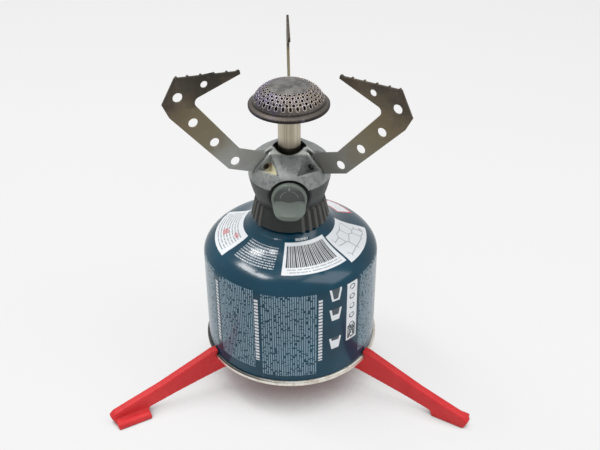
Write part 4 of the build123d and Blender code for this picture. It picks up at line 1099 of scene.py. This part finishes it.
class STOVE_OT_cartridge(Build, bpy.types.Operator):
    """Painted cartridge with its rolled seam and its valve"""
    bl_idname = "stove.cartridge"
    bl_label = "Cartridge"

    def build(self, settings):
        tin = tinplate()
        wall = 0.8 * MM
        seat(self.shell(wall), "cartridge", "blue_paint", "cartridge_shell")
        seat(self.seam(wall, tin), "cartridge", "tinplate", "cartridge_base")
        dress_nodes(tin, "valve_cup")
        dress_nodes(natural_plastic(), "valve_body", "valve_stem")
        dress_nodes(black_rubber(), "valve_gasket")
        dress_nodes(plain_steel(), "valve_spring")

    def shell(self, wall):
        shoulder = shoulder_profile()
        inmost = shoulder[-1][0]
        mouth = 17.6 * MM
        outer = [(CAN_R, CAN_LOW), (CAN_R, CAN_LOW + 20 * MM), (CAN_R, CAN_LOW + 45 * MM), *shoulder,
                 (inmost - 1.6 * MM, CAN_TOP - 0.9 * MM), (inmost - 2.8 * MM, CAN_TOP - 0.1 * MM),
                 (mouth, CAN_TOP)]
        inner = [(max(r - wall, 0), z - 0.5 * wall) for r, z in reversed(outer[2:])]
        inner[0] = (mouth, CAN_TOP - wall)
        return turned("can_body", outer + inner + [(CAN_R - wall, CAN_LOW)], painted_can())

    def seam(self, wall, tin):
        top = SEAM_LOW + 3.4 * MM
        bead = 0.85 * MM
        hollow = SEAM_R - 4.8 * MM
        dome = highest("cartridge_base").z
        drop = dome - SEAM_LOW - 2.6 * MM
        spread = 0.3       # half angle of the domed bottom, in radians
        bulge = [(hollow * sin(t) / sin(spread), dome - drop * (1 - cos(t)) / (1 - cos(spread)))
                 for t in np.linspace(spread, 0, 12)]
        under = [(r, z - wall) for r, z in reversed(bulge)]
        bulge[-1] = (0, dome)
        under[0] = (0, dome - wall)
        under[-1] = (hollow, SEAM_LOW + 1.6 * MM)
        return turned("rolled_seam", [
            *arc((SEAM_R - bead, SEAM_LOW + bead), bead, -90, 0, 5),
            *arc((SEAM_R - bead, top - bead), bead, 0, 90, 5),
            (CAN_R + 0.03 * MM, top), (CAN_R + 0.03 * MM, SEAM_LOW + 1.4 * MM),
            (CAN_R - 1.8 * MM, SEAM_LOW + 1.4 * MM), (hollow + 0.6 * MM, SEAM_LOW + 2.6 * MM),
            *bulge, *under,
            (hollow + 0.8 * MM, SEAM_LOW + 0.3 * MM), (hollow + 1.6 * MM, SEAM_LOW)], tin)


class STOVE_OT_housing(Build, bpy.types.Operator):
    """Ribbed lock collar and dark bowl"""
    bl_idname = "stove.housing"
    bl_label = "Collar and bowl"

    def build(self, settings):
        finishes = [moulded(), moulded("moulded_edge", wear_and_highlight=True)]
        for node, name in (("lock_collar", "collar"), ("bowl_housing", "bowl")):
            rounded(node, name, settings.stove.edge, finishes, "stove", "dark_plastic")


class STOVE_OT_hub(Build, bpy.types.Operator):
    """Die-cast hub with hinge pins and screws"""
    bl_idname = "stove.hub"
    bl_label = "Hub"

    def build(self, settings):
        steel = bpy.data.materials["plain_steel"]
        # hinge pins in a finish with painted shade
        hole_shaded = plain_steel("hole_shaded_steel", hole_shaded=True)
        rounded("burner_hub", "hub", settings.stove.edge,
                [die_cast(), die_cast("die_cast_edge", wear_and_highlight=True)], "stove", "die_cast")
        rounded("arm_pins", "hinge_pins", 0.25 * MM, [hole_shaded], "stove", "spring_steel")
        rounded("hub_screws", "screws", 0.15 * MM, [steel], "stove", "spring_steel")


class STOVE_OT_burner(Build, bpy.types.Operator):
    """Mixing tube, burner pan and perforated cap with pressed port rims in a finish painted lighter as a
    highlight
    """
    bl_idname = "stove.burner"
    bl_label = "Burner"

    def build(self, settings):
        s = settings.burner
        steel = scorched_steel()
        # lighter finish of the rims and port edges: a painted highlight
        rim_highlight_steel = scorched_steel("port_rim_steel", rim=True)
        rounded("mixing_tube", "tube", 0.08 * MM, [tube_steel()], "stove", "stainless")
        rounded("burner_base", "burner_pan", 0.35 * MM, [steel], "stove", "heat_steel")
        rounded("burner_cap", "cap", 0.1 * MM, [steel, rim_highlight_steel], "stove", "heat_steel")
        # the rims stand on the same arc as the cap
        bend_r, bend_z, bend = dome_arc()
        tree = port_rim_tree()
        rows = []
        for row, (inward, port) in enumerate(PORT_ROWS):
            tilt = row_tilt(inward, bend_r, bend)
            rows.append(grown(tree, f"rims_{row}", {
                "Count": s.port_count,
                "Turn": 2 * pi / s.port_count * (0.5 * (row % 2) + 0.775),
                "Row radius": bend_r + bend * sin(tilt),
                "Row height": bend_z + bend * cos(tilt),
                "Tilt": tilt,
                "Port radius": (port + 0.26) * MM,
                "Stretch": SLOT_STRETCH if row == LAST_ROW else 0.0,
                "Rim width": s.rim_width,
                "Finish": rim_highlight_steel,
            }))
        seat(join("port_rims", rows), "stove", "heat_steel")


class STOVE_OT_valve(Build, bpy.types.Operator):
    """Brass valve block, probe, jet, gland, spindle and seals inside the housing"""
    bl_idname = "stove.valve"
    bl_label = "Valve"

    def build(self, settings):
        dress_nodes(machined_brass(), "valve_block", "inlet_probe", "jet", "gland_nut", "spindle")
        dress_nodes(bpy.data.materials["black_rubber"], "inlet_seal", "spindle_seal")


class STOVE_OT_knob(Build, bpy.types.Operator):
    """Gas knob with its thumb paddle and the turning marks"""
    bl_idname = "stove.knob"
    bl_label = "Knob"

    def build(self, settings):
        rounded("knob", "gas_knob_cap", settings.stove.edge * 1.6,
                [knob_plastic(), knob_plastic("knob_edge", wear_and_highlight=True)],
                "gas_knob", "grey_plastic", segments=3)


class STOVE_OT_arms(Build, bpy.types.Operator):
    """Three toothed pan supports"""
    bl_idname = "stove.arms"
    bl_label = "Pan supports"

    def build(self, settings):
        for side in SIDES:
            stamped(f"arm_{side}", f"support_{side}", settings.arms.edge,
                    [arm_plate(side), arm_plate(side, edge=True)], f"pan_arm_{side}", "tinted_steel")


class STOVE_OT_stabiliser(Build, bpy.types.Operator):
    """Three folding legs on their common rivet"""
    bl_idname = "stove.stabiliser"
    bl_label = "Stabiliser"

    def build(self, settings):
        s = settings.stabiliser
        skin = red_plastic()
        for side, body in zip(SIDES, ("swing_leg_left", "swing_leg_right", "stabiliser")):
            softened(f"leg_{side}", f"foot_leg_{side}", s.grain, s.rounds, skin, body, "red_plastic")
        steel = bpy.data.materials["plain_steel"]
        rounded("pivot_rivet", "rivet", 0.2 * MM, [steel], "stabiliser", "spring_steel")
        rounded("pivot_washer", "washer", 0.1 * MM, [steel], "stabiliser", "spring_steel")


class STOVE_OT_stage(Build, bpy.types.Operator):
    """Pale floor, soft lamps and the camera"""
    bl_idname = "stove.stage"
    bl_label = "Stage"

    def build(self, settings):
        s = settings.stage
        bpy.context.scene.view_settings.view_transform = "Standard"
        self.surroundings(s)
        self.floor(s)
        self.lamp("lamp_right", (0.73, -0.22, 1.15), 0.62, 1.05, s.key)
        self.lamp("lamp_left", (-0.54, 0.13, 1.25), 0.66, 0.17, s.side, along=(0.42, -0.87, 0.24))
        self.lamp("lamp_top", (0.08, 0.20, 1.40), 0.4, 0.8, s.top)
        self.lamp("lamp_front", (0.0, -1.25, 0.75), 2.2, 1.2, s.fill).visible_glossy = False
        self.camera(s)

    def surroundings(self, s):
        """Even light all round, which the camera sees as a pale wall."""
        world = bpy.data.worlds.new("surroundings")
        bpy.context.scene.world = world
        world.use_nodes = True
        g = Graph(world.node_tree)
        light = g.node("ShaderNodeBackground",
                       inputs={"Color": (1.0, 1.0, 1.0, 1.0), "Strength": s.world})
        wall = g.node("ShaderNodeBackground", inputs={"Color": FLOOR_SEEN, "Strength": 1.0})
        both = g.node("ShaderNodeMixShader", inputs=[g.seen(), light, wall])
        g.node("ShaderNodeOutputWorld", inputs={"Surface": both})

    def floor(self, s):
        """A large round floor that is white to the camera and keeps the shadow."""
        mesh = bpy.data.meshes.new("floor")
        with opened(mesh) as form:
            bmesh.ops.create_circle(form, cap_ends=True, segments=96, radius=12.0)
        f = Finish("floor_paper")
        f.start(f.noise(400, 2).over(0.3, 0.5), s.floor, (234, 234, 234))
        f.set(roughness=0.9, specular_ior_level=0.1)
        # seen by the camera, the paper is near white with a narrow warm painted shadow under the object,
        # drawn from ambient occlusion
        near = f.node("ShaderNodeAmbientOcclusion", {"samples": 12}, {"Distance": 70 * MM}, output="AO")
        shade = f.mix(near.over(0.19, 0.50), (76, 40, 38), FLOOR_SEEN)
        white = f.node("ShaderNodeEmission", inputs={"Color": shade, "Strength": 1.0})
        share = f.seen() * (0.8 + f.radius().over(1.2, 1.2) * 0.2)
        both = f.node("ShaderNodeMixShader", inputs=[share, Socket(f, f.shader.outputs["BSDF"]), white])
        f.feed(both, f.tree.nodes["Material Output"].inputs["Surface"])
        return new_object("floor", mesh, f.material)

    def lamp(self, name, place, width, height, power, along=None):
        """A soft lamp turned to the stove, whose width lies level or along a given direction."""
        back = (Vector(place) - Vector((0, 0, 0.1))).normalized()
        side = Vector(along) if along else Vector((0, 0, 1)).cross(back)
        side = (side - side.dot(back) * back).normalized()
        data = bpy.data.lights.new(name, "AREA")
        data.shape = "RECTANGLE"
        data.size = width
        data.size_y = height
        data.energy = power
        return self.placed(name, data, place, side, back.cross(side), back)

    def camera(self, s):
        """Camera in front and above, looking down on the stove."""
        pitch, yaw, roll = radians(33.75), radians(-0.31), radians(-0.26)
        ahead = Vector((sin(yaw) * cos(pitch), cos(yaw) * cos(pitch), -sin(pitch)))
        right = Vector((cos(yaw), -sin(yaw), 0))
        up = right.cross(ahead)
        data = bpy.data.cameras.new("camera")
        data.lens = s.lens
        data.sensor_width = 36
        data.clip_start = 0.01
        bpy.context.scene.camera = self.placed(
            "camera", data, (8.5 * MM, -471.0 * MM, 421.9 * MM),
            cos(roll) * right + sin(roll) * up, cos(roll) * up - sin(roll) * right, -ahead)

    def placed(self, name, data, place, *axes):
        """A lamp or a camera at a place, with its own x, y and z along the axes."""
        made = new_object(name, data)
        made.matrix_world = Matrix.Translation(place) @ Matrix(axes).transposed().to_4x4()
        return made


class STOVE_PT_build(bpy.types.Panel):
    """Buttons and settings for each group of pieces"""
    bl_label = "Camping Stove"
    bl_space_type = "VIEW_3D"
    bl_region_type = "UI"
    bl_category = "Stove"

    def draw(self, context):
        for operator in OPERATORS:
            self.layout.operator(operator.bl_idname)
        build = context.scene.stove_build
        for group in build.bl_rna.properties.keys():
            if group not in ("rna_type", "name"):
                column = self.layout.column(align=True)
                settings = getattr(build, group)
                for name in settings.bl_rna.properties.keys():
                    if name not in ("rna_type", "name"):
                        column.prop(settings, name)


SETTINGS = (CartridgeSettings, StoveSettings, BurnerSettings, ArmSettings, StabiliserSettings,
            StageSettings, StoveBuild)
OPERATORS = (STOVE_OT_cartridge, STOVE_OT_housing, STOVE_OT_hub, STOVE_OT_burner, STOVE_OT_valve,
             STOVE_OT_knob, STOVE_OT_arms, STOVE_OT_stabiliser, STOVE_OT_stage)


def register():
    for cls in (*SETTINGS, *OPERATORS, STOVE_PT_build):
        bpy.utils.register_class(cls)
    bpy.types.Scene.stove_build = PointerProperty(type=StoveBuild)


def unregister():
    del bpy.types.Scene.stove_build
    for cls in reversed((*SETTINGS, *OPERATORS, STOVE_PT_build)):
        bpy.utils.unregister_class(cls)


def main():
    register()
    for operator in OPERATORS:
        getattr(bpy.ops.stove, operator.bl_idname.removeprefix("stove."))()


if __name__ == "__main__":
    main()
